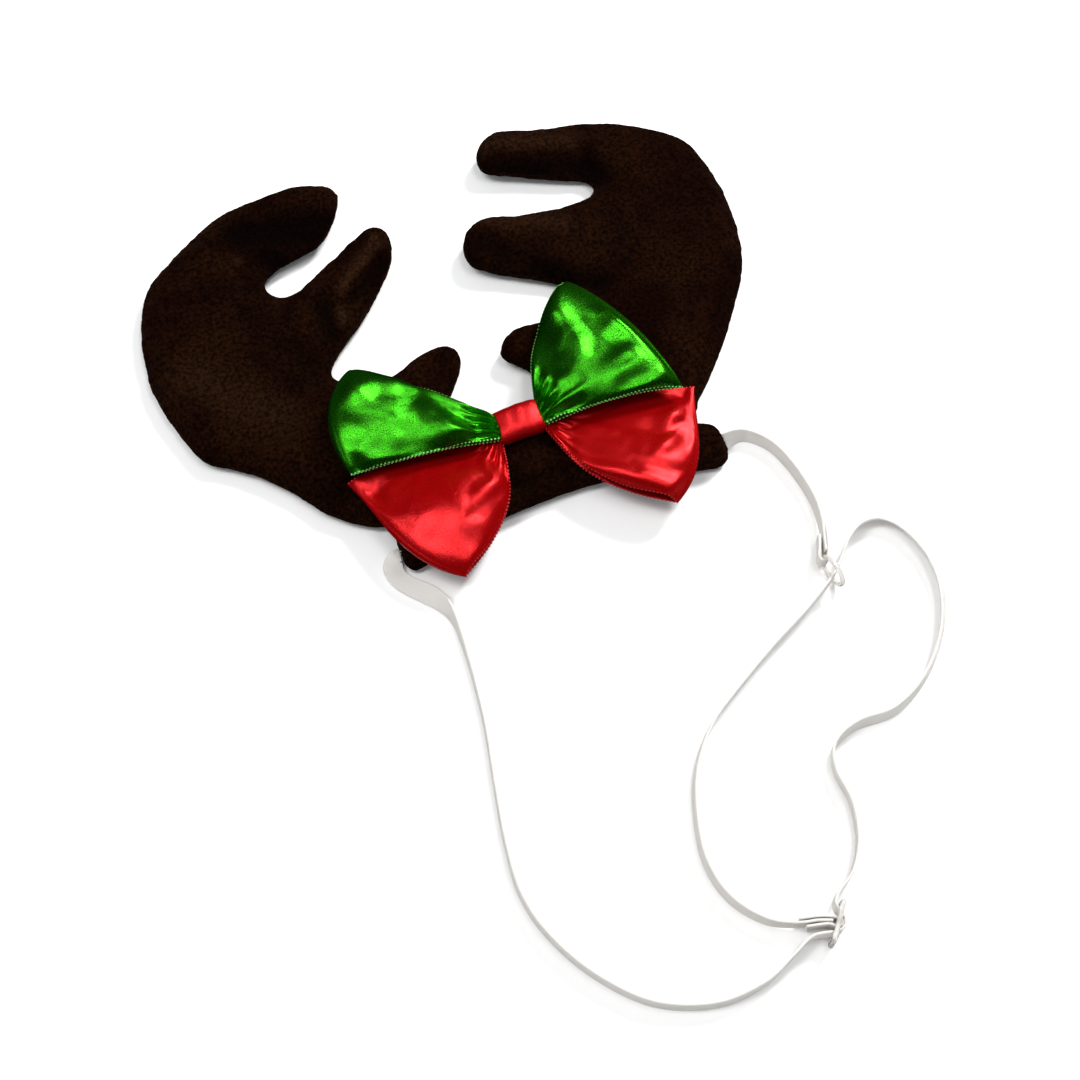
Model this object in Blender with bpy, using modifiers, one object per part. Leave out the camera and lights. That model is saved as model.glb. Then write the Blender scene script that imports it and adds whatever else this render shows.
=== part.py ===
"""Reindeer antler headband lying on its back, in metres, +Z up.

X runs along the headband, +Y points to the antler tips, and Z = 0 is the surface that it lies on.
The origin is on the flat underside of the headband, midway between the antlers.
"""
import math

import bmesh
import bpy
from mathutils import Vector
from mathutils.geometry import delaunay_2d_cdt

MM = 0.001

# Clearances
SEAT_GAP = 0.0003

# Antlers: padded plush, two faces sewn round the edge
ANTLER_REACH = 0.0956
LEFT_ANTLER_RISE = 0.1189
RIGHT_ANTLER_RISE = 0.1140
ANTLER_THICKNESS = 0.0090
ANTLER_CROWN = 0.0009
ANTLER_EDGE_ROUND = 0.0036
TINE_CURL = 0.0028
STEM_INNER = 0.0170
LEFT_STEM_OUTER = 0.0425
RIGHT_STEM_OUTER = 0.0540

# Headband: plush tube, gathered at both ends
BAND_LEFT = 0.0435
BAND_RIGHT = 0.0580
BAND_WIDTH = 0.0260
BAND_THICKNESS = 0.0090
BAND_ARCH = 0.0145
GATHER_DEPTH = 0.0006

# Bow: two ribbons through one centre wrap
RIBBON_THICKNESS = 0.0010
BOW_REACH = 0.0550
BOW_SPREAD = 0.0425
BOW_RISE = 0.0140
FOLD_BULGE = 0.0050
PLEAT_DEPTH = 0.0007
KNOT_X = 0.0022
KNOT_Y = 0.0099
KNOT_HALF_WIDTH = 0.0041
WRAP_LENGTH = 0.0135
WRAP_WALL = 0.0010

# Elastic and its two fittings
ELASTIC_WIDTH = 0.0060
ELASTIC_THICKNESS = 0.0010
RING_RADIUS = 0.0046
RING_WIRE = 0.0014
SLIDER_LENGTH = 0.0122
SLIDER_HEIGHT = 0.0094
SLIDER_THICKNESS = 0.0013
SLIDER_BAR = 0.0013

PLUSH_TOP = max(ANTLER_THICKNESS, BAND_THICKNESS)
BOW_FLOOR = PLUSH_TOP + SEAT_GAP + RIBBON_THICKNESS / 2
LAYER_STEP = RIBBON_THICKNESS + SEAT_GAP
WRAP_BASE = PLUSH_TOP + SEAT_GAP
FIRST_LAYER = WRAP_BASE + WRAP_WALL + SEAT_GAP + RIBBON_THICKNESS / 2

# Antler outlines, from the outer end of the stem round the tines to its inner end
# Columns: across as a share of the reach, up as a share of that antler's rise
LEFT_OUTLINE = (
    (0.545, 0.0), (0.635, 0.065), (0.7, 0.145), (0.795, 0.23), (0.87, 0.275), (0.925, 0.31),
    (0.96, 0.385), (0.995, 0.5), (1.0, 0.585), (0.985, 0.685), (0.945, 0.785), (0.89, 0.855),
    (0.785, 0.915), (0.67, 0.965), (0.575, 0.99), (0.43, 1.0), (0.32, 0.99), (0.235, 0.955),
    (0.205, 0.925), (0.22, 0.89), (0.26, 0.84), (0.31, 0.805), (0.365, 0.79), (0.45, 0.78),
    (0.52, 0.765), (0.545, 0.735), (0.525, 0.7), (0.495, 0.685), (0.45, 0.69), (0.365, 0.72),
    (0.25, 0.76), (0.18, 0.78), (0.125, 0.78), (0.105, 0.74), (0.12, 0.69), (0.165, 0.64),
    (0.27, 0.56), (0.365, 0.5), (0.435, 0.45), (0.45, 0.41), (0.395, 0.385), (0.28, 0.36),
    (0.21, 0.38), (0.115, 0.395), (0.065, 0.38), (0.045, 0.345), (0.07, 0.3), (0.13, 0.245),
    (0.18, 0.19), (0.19, 0.14),
)
RIGHT_OUTLINE = (
    (0.62, 0.02), (0.66, 0.05), (0.76, 0.14), (0.86, 0.245), (0.94, 0.345), (0.985, 0.47),
    (1.0, 0.6), (0.985, 0.715), (0.945, 0.795), (0.835, 0.87), (0.705, 0.93), (0.595, 0.955),
    (0.47, 0.98), (0.365, 1.0), (0.295, 0.97), (0.265, 0.93), (0.27, 0.895), (0.31, 0.87),
    (0.44, 0.82), (0.53, 0.785), (0.585, 0.765), (0.6, 0.735), (0.57, 0.71), (0.495, 0.705),
    (0.41, 0.71), (0.295, 0.725), (0.21, 0.74), (0.145, 0.725), (0.11, 0.69), (0.095, 0.655),
    (0.105, 0.615), (0.165, 0.575), (0.265, 0.525), (0.36, 0.47), (0.385, 0.425), (0.345, 0.39),
    (0.265, 0.38), (0.2, 0.385), (0.12, 0.38), (0.08, 0.345), (0.07, 0.32), (0.095, 0.29),
    (0.135, 0.255), (0.16, 0.205), (0.18, 0.135),
)

# Where a tine curls up off the surface
# Columns: across and up as in the outline, reach as a share of the antler's reach, lift as a share of TINE_CURL
LEFT_CURLS = ((0.22, 0.93, 0.26, 0.8), (0.12, 0.76, 0.22, 1.0), (0.05, 0.36, 0.16, 0.5))
RIGHT_CURLS = ((0.27, 0.93, 0.22, 0.7), (0.10, 0.66, 0.22, 0.6), (0.08, 0.34, 0.14, 0.5))

# Hollows in the upper face
# Columns: across, up and reach as above, depth as a share of the antler's thickness
LEFT_DENTS = ((0.45, 0.87, 0.13, 0.22), (0.22, 0.67, 0.10, 0.12), (0.62, 0.70, 0.12, 0.08))
RIGHT_DENTS = ((0.61, 0.80, 0.10, 0.20), (0.42, 0.53, 0.12, 0.12), (0.40, 0.86, 0.08, 0.08))

# Headband sections, left end to right end
# Columns: along as a share of that side's length, drop as a share of the arch, width and thickness as shares
BAND_SECTIONS = (
    (-1.0, 0.88, 0.40, 0.80), (-0.96, 0.84, 0.56, 0.92), (-0.86, 0.68, 0.68, 1.0),
    (-0.68, 0.42, 0.82, 1.0), (-0.38, 0.14, 0.94, 1.0), (0.09, 0.0, 1.0, 1.0),
    (0.38, 0.11, 0.97, 1.0), (0.60, 0.38, 0.88, 1.0), (0.78, 0.72, 0.75, 1.0),
    (0.90, 0.94, 0.62, 0.96), (0.965, 1.0, 0.54, 0.90), (1.0, 1.0, 0.40, 0.78),
)
# The section's outline, flat below. Columns: across as a share of half the width, up as a share of the thickness
BAND_OUTLINE = (
    (0.0, 0.0), (0.42, 0.0), (0.80, 0.0), (0.95, 0.14), (1.0, 0.42), (0.95, 0.70), (0.80, 0.88),
    (0.42, 0.98), (0.0, 1.0), (-0.42, 0.98), (-0.80, 0.88), (-0.95, 0.70), (-1.0, 0.42),
    (-0.95, 0.14), (-0.80, 0.0), (-0.42, 0.0),
)
GATHERED_SHARE = 0.74

# Bow loops, knot to outer fold
# Columns: upper edge x and y, lower edge x and y, as shares of BOW_REACH and BOW_SPREAD from the knot,
# then as shares of BOW_RISE above BOW_FLOOR: the upper sheet's height at its upper edge, middle and
# lower edge, and the under sheet's height at its upper and lower edge, and last how far the sheets'
# middle stands outwards, as a share of FOLD_BULGE
GREEN_LEFT = (
    (-0.31, 0.34, -0.40, -0.06, 0.44, 0.74, 0.60, 0.22, 0.42, 0.0),
    (-0.53, 0.60, -0.69, -0.02, 0.42, 0.95, 0.62, 0.08, 0.38, 0.3),
    (-0.72, 0.80, -0.94, 0.01, 0.42, 0.80, 0.54, 0.06, 0.34, 1.0),
)
GREEN_RIGHT = (
    (0.20, 0.40, 0.40, -0.12, 0.46, 0.76, 0.60, 0.22, 0.42, 0.0),
    (0.35, 0.68, 0.67, -0.155, 0.46, 1.0, 0.62, 0.08, 0.38, 0.1),
    (0.54, 0.90, 0.88, -0.21, 0.46, 0.85, 0.54, 0.06, 0.34, 0.3),
)
RED_LEFT = (
    (-0.40, 0.04, -0.20, -0.48, 0.17, 0.30, 0.22, 0.03, 0.03, 0.0),
    (-0.69, 0.06, -0.37, -0.74, 0.18, 0.55, 0.24, 0.03, 0.03, 0.3),
    (-0.97, 0.02, -0.58, -0.92, 0.18, 0.42, 0.20, 0.03, 0.01, 1.0),
)
RED_RIGHT = (
    (0.40, -0.02, 0.23, -0.48, 0.17, 0.30, 0.22, 0.03, 0.03, 0.0),
    (0.69, -0.07, 0.40, -0.75, 0.18, 0.55, 0.24, 0.03, 0.03, 0.3),
    (0.97, -0.18, 0.61, -0.95, 0.18, 0.42, 0.20, 0.03, 0.01, 0.9),
)

# Elastic routes after the exit from the headband's end, chosen by hand over the surface, in millimetres
# Columns: x, y, lean from 0 (flat) to 1 (on edge), height of the lower edge, width share
SHORT_ROUTE = (
    (61.0, -14.2, 0.75, 0.8, 1.0), (65.0, -14.6, 0.9, 0.2, 1.0),
    (69.0, -17.8, 0.95, 0.0, 1.0), (72.0, -22.6, 0.97, 0.0, 1.0), (74.0, -29.5, 0.97, 0.0, 1.0),
    (75.0, -36.5, 0.97, 0.0, 1.0), (75.1, -43.0, 0.97, 0.3, 1.0), (73.9, -49.5, 0.97, 1.0, 1.0),
    (72.0, -55.0, 1.0, 1.8, 1.0), (70.2, -59.7, 1.0, 2.5, 0.9),
)
LONG_ROUTE = (
    (-45.6, -12.6, 0.2, 1.2, 0.9), (-47.3, -14.6, 0.15, 0.6, 1.0),
    (-47.2, -18.4, 0.15, 0.2, 0.95), (-44.9, -22.3, 0.15, 0.0, 0.95), (-41.2, -26.5, 0.25, 0.0, 1.0),
    (-38.2, -31.2, 0.55, 0.0, 1.0), (-36.8, -37.0, 0.85, 0.0, 1.0), (-36.9, -44.5, 0.95, 0.0, 1.0),
    (-38.1, -57.0, 0.97, 0.0, 1.0), (-40.4, -72.0, 0.97, 0.0, 1.0), (-44.0, -88.0, 0.97, 0.0, 1.0),
    (-47.4, -105.0, 0.97, 0.0, 1.0), (-48.6, -119.0, 0.97, 0.0, 1.0), (-45.8, -132.0, 0.97, 0.0, 1.0),
    (-38.5, -146.0, 0.97, 0.0, 1.0), (-27.0, -158.5, 0.97, 0.0, 1.0), (-12.0, -165.0, 0.97, 0.0, 1.0),
    (2.0, -165.0, 0.97, 0.2, 1.0), (11.0, -161.8, 1.0, 0.9, 1.0), (18.0, -159.0, 1.0, 1.5, 1.0),
    (21.7, -159.3, 1.0, 1.65, 1.0), (24.6, -160.0, 1.0, 1.65, 1.0), (26.8, -160.1, 1.0, 1.65, 1.0),
    (28.2, -159.3, 1.0, 1.65, 1.0), (28.7, -157.8, 1.0, 1.65, 1.0), (28.4, -155.8, 1.0, 1.65, 1.0),
    (28.1, -153.7, 1.0, 1.65, 1.0), (29.0, -152.0, 1.0, 1.65, 1.0), (31.2, -150.2, 1.0, 1.2, 1.0),
    (36.8, -146.8, 1.0, 0.5, 1.0), (42.2, -139.5, 0.97, 0.0, 1.0), (45.2, -129.5, 0.95, 0.0, 1.0),
    (45.1, -119.5, 0.95, 0.0, 1.0), (48.2, -112.6, 0.95, 0.0, 1.0), (56.5, -109.6, 0.9, 0.0, 1.0),
    (68.0, -109.8, 0.9, 0.0, 1.0), (80.0, -104.5, 0.9, 0.0, 1.0), (90.5, -94.6, 0.85, 0.0, 1.0),
    (97.2, -82.5, 0.75, 0.0, 1.0), (99.0, -70.5, 0.65, 0.0, 1.0), (96.2, -59.8, 0.6, 0.0, 1.0),
    (90.5, -54.6, 0.7, 0.2, 1.0), (84.0, -54.7, 0.85, 0.8, 1.0), (78.0, -58.7, 1.0, 1.8, 1.0),
    (73.6, -63.3, 1.0, 2.7, 0.85), (69.6, -66.8, 1.0, 2.75, 0.85), (65.6, -69.3, 1.0, 2.0, 0.95),
    (57.0, -73.8, 0.97, 0.4, 1.0), (44.0, -79.8, 0.95, 0.0, 1.0), (31.0, -86.8, 0.95, 0.0, 1.0),
    (18.5, -94.6, 0.95, 0.0, 1.0), (9.0, -105.5, 0.95, 0.0, 1.0), (3.6, -118.0, 0.95, 0.0, 1.0),
    (1.2, -130.0, 0.95, 0.0, 1.0), (3.2, -141.0, 0.95, 0.0, 1.0), (9.5, -149.8, 0.97, 0.2, 1.0),
    (16.5, -154.0, 1.0, 0.9, 1.0), (22.0, -155.7, 1.0, 1.5, 1.0), (25.5, -157.2, 1.0, 1.65, 1.0),
)
SHORT_EXIT = (0.55, 1.6, 0.8)
LONG_EXIT = (0.20, 1.6, 0.8)
EXIT_GAP = 0.0006
LONGEST_CHORD = 0.0085
RING_PLACE = (69.9, -65.5)
RING_HEADING = math.radians(-78)
SLIDER_PLACE = (26.6, -158.0)
SLIDER_HEADING = math.radians(51)


def clear_scene():
    for thing in list(bpy.data.objects):
        bpy.data.objects.remove(thing, do_unlink=True)


def make_collection(name):
    collection = bpy.data.collections.new(name)
    bpy.context.scene.collection.children.link(collection)
    return collection


def make_material(name, colour, roughness, sheen=0.0):
    material = bpy.data.materials.new(name)
    material.use_nodes = True
    shader = material.node_tree.nodes["Principled BSDF"]
    shader.inputs["Base Color"].default_value = (*colour, 1.0)
    shader.inputs["Roughness"].default_value = roughness
    shader.inputs["Metallic"].default_value = 0.0
    shader.inputs["Sheen Weight"].default_value = sheen
    return material


def place(thing, collection, material):
    for holder in list(thing.users_collection):
        holder.objects.unlink(thing)
    collection.objects.link(thing)
    thing.data.materials.append(material)
    return thing


def mesh_object(name, points, faces):
    mesh = bpy.data.meshes.new(name)
    mesh.from_pydata(points, [], faces)
    shape = bmesh.new()
    shape.from_mesh(mesh)
    bmesh.ops.recalc_face_normals(shape, faces=shape.faces)
    shape.to_mesh(mesh)
    shape.free()
    mesh.shade_smooth()
    return bpy.data.objects.new(name, mesh)


def smooth_value(rows, position):
    """The rows' values at a position between 0 and the last row, on a smooth curve through them."""
    last = len(rows) - 1
    start = min(int(position), last - 1)
    part = position - start
    before = rows[max(start - 1, 0)]
    after = rows[min(start + 2, last)]
    values = []
    for a, b, c, d in zip(before, rows[start], rows[start + 1], after):
        slope_in = (c - a) / 2
        slope_out = (d - b) / 2
        rise = c - b
        cubic = slope_in + slope_out - 2 * rise
        square = 3 * rise - 2 * slope_in - slope_out
        values.append(b + part * (slope_in + part * (square + part * cubic)))
    return values


def smooth_rows(rows, steps):
    count = (len(rows) - 1) * steps
    return [smooth_value(rows, index / steps) for index in range(count + 1)]


# Headband

BAND_STATIONS = smooth_rows(BAND_SECTIONS, 2)


def band_x(along):
    return along * (BAND_RIGHT if along > 0 else BAND_LEFT)


def band_upper_edge(x):
    """Y of the headband's upper edge where the mesh has it."""
    stations = [
        (band_x(along), width * BAND_WIDTH / 2 - drop * BAND_ARCH)
        for along, drop, width, _ in BAND_STATIONS
    ]
    for (x_a, y_a), (x_b, y_b) in zip(stations, stations[1:]):
        if x_a <= x <= x_b:
            return y_a + (y_b - y_a) * (x - x_a) / (x_b - x_a)
    return stations[0][1] if x < 0 else stations[-1][1]


def build_headband():
    ring = len(BAND_OUTLINE)
    points = []
    for along, drop, width, thickness in BAND_STATIONS:
        gathered = max(0.0, abs(along) - GATHERED_SHARE) / (1 - GATHERED_SHARE)
        for index, (across, up) in enumerate(BAND_OUTLINE):
            pucker = GATHER_DEPTH * gathered * (index % 2) * (1.0 if up > 0 else 0.0)
            y = across * (width * BAND_WIDTH / 2 - pucker) - drop * BAND_ARCH
            z = up * (thickness * BAND_THICKNESS - pucker)
            points.append((band_x(along), y, z))
    faces = [tuple(range(ring)), tuple(range(len(points) - ring, len(points)))]
    for section in range(len(BAND_STATIONS) - 1):
        for index in range(ring):
            near = section * ring
            far = near + ring
            following = (index + 1) % ring
            faces.append((near + index, near + following, far + following, far + index))
    return mesh_object("headband", points, faces)


# Antlers

OUTLINE_STEPS = 2
EDGE_ANGLES = (30, 60, 90)
FILL_SPACING = 0.0090
FOOT_STEP = 0.0035


def distance_to_edge(point, outline):
    nearest = math.inf
    for a, b in zip(outline, outline[1:] + outline[:1]):
        run = b - a
        share = max(0.0, min(1.0, (point - a).dot(run) / run.length_squared))
        nearest = min(nearest, (point - a - run * share).length)
    return nearest


def antler_outline(side, rise, rows, stem_outer):
    """Closed outline of an antler. side is -1 for the left and 1 for the right."""
    edge = [
        Vector((side * across * ANTLER_REACH, up * rise)) for across, up in smooth_rows(rows, OUTLINE_STEPS)
    ]
    steps = math.ceil((stem_outer - STEM_INNER) / FOOT_STEP)
    for index in range(steps + 1):
        x = side * (STEM_INNER + (stem_outer - STEM_INNER) * index / steps)
        edge.append(Vector((x, band_upper_edge(x) + SEAT_GAP)))
    return edge


def inner_points(outline):
    """Rings of points that follow the outline over its rounded edge, then an even fill."""
    points = []
    count = len(outline)
    area = sum(a.cross(b) for a, b in zip(outline, outline[1:] + outline[:1]))
    turn = 1 if area > 0 else -1
    for angle in EDGE_ANGLES:
        inset = ANTLER_EDGE_ROUND * (1 - math.cos(math.radians(angle)))
        skip = 2 if angle == 90 else 1
        for index in range(0, count, skip):
            along = outline[(index + 1) % count] - outline[index - 1]
            inward = Vector((-along.y, along.x)).normalized() * turn
            point = outline[index] + inward * inset
            if distance_to_edge(point, outline) > inset * 0.96:
                points.append(point)
    low_x = min(point.x for point in outline)
    low_y = min(point.y for point in outline)
    columns = int((max(point.x for point in outline) - low_x) / FILL_SPACING) + 1
    rows = int((max(point.y for point in outline) - low_y) / FILL_SPACING) + 1
    for row in range(rows + 1):
        for column in range(columns + 1):
            x = low_x + (column + 0.5 * (row % 2)) * FILL_SPACING
            point = Vector((x, low_y + row * FILL_SPACING))
            if is_inside(point, outline) and distance_to_edge(point, outline) > ANTLER_EDGE_ROUND * 1.8:
                points.append(point)
    return points


def is_inside(point, outline):
    inside = False
    for a, b in zip(outline, outline[1:] + outline[:1]):
        if (a.y > point.y) != (b.y > point.y):
            if point.x < a.x + (point.y - a.y) * (b.x - a.x) / (b.y - a.y):
                inside = not inside
    return inside


def swelling(point, side, rise, rows):
    """Sum of the soft bumps in rows at a point, each 1 at its middle times its last column."""
    total = 0.0
    for across, up, reach, amount in rows:
        middle = Vector((side * across * ANTLER_REACH, up * rise))
        total += amount * math.exp(-(((point - middle).length / (reach * ANTLER_REACH)) ** 2))
    return total


def build_antler(name, side, rise, rows, stem_outer, curls, dents):
    outline = antler_outline(side, rise, rows, stem_outer)
    inner = inner_points(outline)
    flat, _, triangles, _, _, _ = delaunay_2d_cdt(
        outline + inner, [], [tuple(range(len(outline)))], 1, 1e-7
    )
    edge_count = len(outline)
    half = (ANTLER_THICKNESS - ANTLER_CROWN) / 2
    top = []
    bottom = []
    for point in flat:
        depth = min(1.0, distance_to_edge(point, outline) / ANTLER_EDGE_ROUND)
        swell = half * math.sqrt(max(0.0, 1 - (1 - depth) ** 2))
        inward = max(0.0, distance_to_edge(point, outline) - ANTLER_EDGE_ROUND)
        crown = ANTLER_CROWN * min(1.0, inward / (2 * ANTLER_EDGE_ROUND))
        lift = TINE_CURL * swelling(point, side, rise, curls)
        dent = ANTLER_THICKNESS * depth * swelling(point, side, rise, dents)
        top.append((point.x, point.y, half + swell + crown + lift - dent))
        bottom.append((point.x, point.y, half - swell + lift))
    points = top + bottom[edge_count:]
    shift = len(top) - edge_count
    faces = [tuple(face) for face in triangles]
    for face in triangles:
        faces.append(tuple(index if index < edge_count else index + shift for index in reversed(face)))
    return mesh_object(name, points, faces)


# Bow

LOOP_STEPS = 3
ACROSS_STEPS = 8
FOLD_ANGLES = (45, 90, 135)
FOLD_FLATNESS = 0.55
PLEATS = 3
GREEN_BELLY = 1.0
RED_BELLY = 1.5


def loop_rows(rows, side, upper_layer, under_layer):
    """The loop's rows in metres from the knot, with the row at the knot put first."""
    knot_x = side * WRAP_LENGTH / 2
    first = [knot_x, KNOT_HALF_WIDTH, knot_x, -KNOT_HALF_WIDTH]
    first += [upper_layer] * 3 + [under_layer] * 2 + [0.0]
    table = [first]
    for upper_x, upper_y, lower_x, lower_y, *heights, bulge in rows:
        row = [upper_x * BOW_REACH, upper_y * BOW_SPREAD, lower_x * BOW_REACH, lower_y * BOW_SPREAD]
        row += [BOW_FLOOR + height * BOW_RISE for height in heights]
        row.append(bulge * FOLD_BULGE)
        table.append(row)
    return table


def loop_point(table, belly_place, out, across, is_upper):
    """A point of one sheet: out runs 0 to 1 from knot to fold, across 0 to 1 from upper to lower edge.

    A belly_place over 1 moves the sheet's highest line towards its lower edge.
    """
    values = smooth_value(table, out * (len(table) - 1))
    upper_x, upper_y, lower_x, lower_y, top_a, belly, top_b, under_a, under_b, bulge = values
    x = upper_x + (lower_x - upper_x) * across
    y = upper_y + (lower_y - upper_y) * across
    round_part = math.sin(math.pi * across ** belly_place)
    push = bulge * round_part
    away = Vector((x, y)).normalized()
    if is_upper:
        z = top_a + (top_b - top_a) * across + (belly - (top_a + top_b) / 2) * round_part
        fade = math.sin(math.pi * min(1.0, out / 0.7)) if out < 0.7 else 0.0
        z += PLEAT_DEPTH * fade * math.sin(2 * math.pi * PLEATS * across) * round_part
    else:
        z = under_a + (under_b - under_a) * across
    return Vector((KNOT_X + x + away.x * push, KNOT_Y + y + away.y * push, z))


def loop_sections(table, belly_place):
    """Sections of a loop from the knot along the upper sheet, round the fold and back below."""
    shares = [index / ACROSS_STEPS for index in range(ACROSS_STEPS + 1)]
    outs = [index / (LOOP_STEPS * 2) for index in range(LOOP_STEPS * 2 + 1)]
    sheets = [
        [[loop_point(table, belly_place, out, across, is_upper) for across in shares] for out in outs]
        for is_upper in (True, False)
    ]
    sections = list(sheets[0])
    ends = list(zip(sheets[0][-1], sheets[1][-1]))
    for angle in FOLD_ANGLES:
        section = []
        for upper, under in ends:
            middle = (upper + under) / 2
            radius = (upper.z - under.z) / 2
            away = Vector((middle.x - KNOT_X, middle.y - KNOT_Y, 0)).normalized()
            turn = math.radians(angle)
            rise = Vector((0, 0, radius * math.cos(turn)))
            section.append(middle + away * radius * FOLD_FLATNESS * math.sin(turn) + rise)
        sections.append(section)
    return sections + list(reversed(sheets[1]))


def build_ribbon(name, left_rows, right_rows, belly_place, layer):
    """One ribbon: a closed band through the knot with a loop on each side."""
    upper_layer = FIRST_LAYER + (layer + 1) * LAYER_STEP
    under_layer = FIRST_LAYER + layer * LAYER_STEP
    left = loop_sections(loop_rows(left_rows, -1, upper_layer, under_layer), belly_place)
    right = loop_sections(loop_rows(right_rows, 1, upper_layer, under_layer), belly_place)
    sections = left + list(reversed(right))
    width = ACROSS_STEPS + 1
    points = [point for section in sections for point in section]
    faces = []
    for index in range(len(sections)):
        near = index * width
        far = (index + 1) % len(sections) * width
        for column in range(ACROSS_STEPS):
            faces.append((near + column, near + column + 1, far + column + 1, far + column))
    ribbon = mesh_object(name, points, faces)
    wall = ribbon.modifiers.new("Wall", "SOLIDIFY")
    wall.thickness = RIBBON_THICKNESS
    wall.offset = 0.0
    return ribbon


def rounded_rectangle(width, height, radius, corner_steps=3):
    points = []
    for corner, (sign_x, sign_y) in enumerate(((1, 1), (-1, 1), (-1, -1), (1, -1))):
        for step in range(corner_steps + 1):
            turn = math.radians(90 * (corner + step / corner_steps))
            x = sign_x * (width / 2 - radius) + radius * math.cos(turn)
            y = sign_y * (height / 2 - radius) + radius * math.sin(turn)
            points.append((x, y))
    return points


def flat_shape(name, outlines, thickness, rounding):
    """A plate from closed outlines, the first one solid and the others cut out of it."""
    curve = bpy.data.curves.new(name, "CURVE")
    curve.dimensions = "2D"
    curve.fill_mode = "BOTH"
    curve.extrude = thickness / 2 - rounding
    curve.bevel_depth = rounding
    curve.offset = -rounding
    curve.bevel_resolution = 1
    for outline in outlines:
        spline = curve.splines.new("POLY")
        spline.points.add(len(outline) - 1)
        for point, (x, y) in zip(spline.points, outline):
            point.co = (x, y, 0, 1)
        spline.use_cyclic_u = True
    return bpy.data.objects.new(name, curve)


def build_wrap():
    """The wrap round both ribbons at the knot, a closed band about the X axis."""
    room_width = 2 * (KNOT_HALF_WIDTH + SEAT_GAP)
    room_height = 4 * RIBBON_THICKNESS + 5 * SEAT_GAP
    inner = rounded_rectangle(room_width, room_height, SEAT_GAP)
    outer = rounded_rectangle(room_width + 2 * WRAP_WALL, room_height + 2 * WRAP_WALL, WRAP_WALL)
    wrap = flat_shape("bow_centre_wrap", [outer, inner], WRAP_LENGTH, WRAP_WALL * 0.2)
    wrap.rotation_euler = (math.radians(90), 0, math.radians(90))
    wrap.location = (KNOT_X, KNOT_Y, WRAP_BASE + WRAP_WALL + room_height / 2)
    return wrap


# Elastic and fittings

def elastic_profile(name, cutters):
    """The elastic's cross section, used as the bevel of its two curves."""
    profile = bpy.data.curves.new(name, "CURVE")
    profile.dimensions = "2D"
    profile.fill_mode = "NONE"
    spline = profile.splines.new("POLY")
    outline = rounded_rectangle(ELASTIC_WIDTH, ELASTIC_THICKNESS, ELASTIC_THICKNESS * 0.3, 1)
    spline.points.add(len(outline) - 1)
    for point, (x, y) in zip(spline.points, reversed(outline)):
        point.co = (x, y, 0, 1)
    spline.use_cyclic_u = True
    guide = bpy.data.objects.new(name, profile)
    guide.hide_render = True
    guide.display_type = "WIRE"
    cutters.objects.link(guide)
    return guide


def exit_row(along, drop, exit_shape):
    """The route's first row, just clear of the middle of one of the headband's ends."""
    x = band_x(along) + along * EXIT_GAP
    return (x / MM, -drop * BAND_ARCH / MM, *exit_shape)


def finer_route(route):
    """The route with a point added on the smooth curve wherever two of its points lie far apart."""
    points = []
    for index, (here, after) in enumerate(zip(route, route[1:])):
        points.append(here)
        if math.dist(here[:2], after[:2]) * MM > LONGEST_CHORD:
            points.append(smooth_value(route, index + 0.5))
    return points + [route[-1]]


def build_elastic(name, route, profile):
    curve = bpy.data.curves.new(name, "CURVE")
    curve.dimensions = "3D"
    curve.twist_mode = "Z_UP"
    curve.bevel_mode = "OBJECT"
    curve.bevel_object = profile
    curve.use_fill_caps = True
    spline = curve.splines.new("POLY")
    points = finer_route(route)
    spline.points.add(len(points) - 1)
    for point, (x, y, lean, base, width) in zip(spline.points, points):
        turn = math.radians(90) * lean
        upright = ELASTIC_WIDTH * math.sin(turn) + ELASTIC_THICKNESS * math.cos(turn)
        point.co = (x * MM, y * MM, base * MM + width * upright / 2, 1)
        point.tilt = turn
        point.radius = width
    return bpy.data.objects.new(name, curve)


def build_ring():
    """The plain ring at the end of the short elastic, standing on edge."""
    bpy.ops.mesh.primitive_torus_add(
        major_radius=RING_RADIUS, minor_radius=RING_WIRE / 2, major_segments=20, minor_segments=8
    )
    ring = bpy.context.object
    ring.name = "adjuster_ring"
    ring.rotation_euler = (math.radians(90), 0, RING_HEADING)
    ring.location = (RING_PLACE[0] * MM, RING_PLACE[1] * MM, RING_RADIUS + RING_WIRE / 2)
    ring.data.shade_smooth()
    return ring


def build_slider():
    """The figure-of-eight slider: two slots either side of its middle bar, standing on edge."""
    slot_length = (SLIDER_LENGTH - 3 * SLIDER_BAR) / 2
    slot_height = SLIDER_HEIGHT - 2 * SLIDER_BAR
    outlines = [rounded_rectangle(SLIDER_LENGTH, SLIDER_HEIGHT, SLIDER_BAR)]
    for side in (-1, 1):
        slot = rounded_rectangle(slot_length, slot_height, SLIDER_BAR * 0.4)
        outlines.append([(x + side * (slot_length + SLIDER_BAR) / 2, y) for x, y in slot])
    slider = flat_shape("adjuster_slider", outlines, SLIDER_THICKNESS, SLIDER_THICKNESS * 0.25)
    slider.rotation_euler = (math.radians(90), 0, SLIDER_HEADING)
    slider.location = (SLIDER_PLACE[0] * MM, SLIDER_PLACE[1] * MM, SLIDER_HEIGHT / 2)
    return slider


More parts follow.
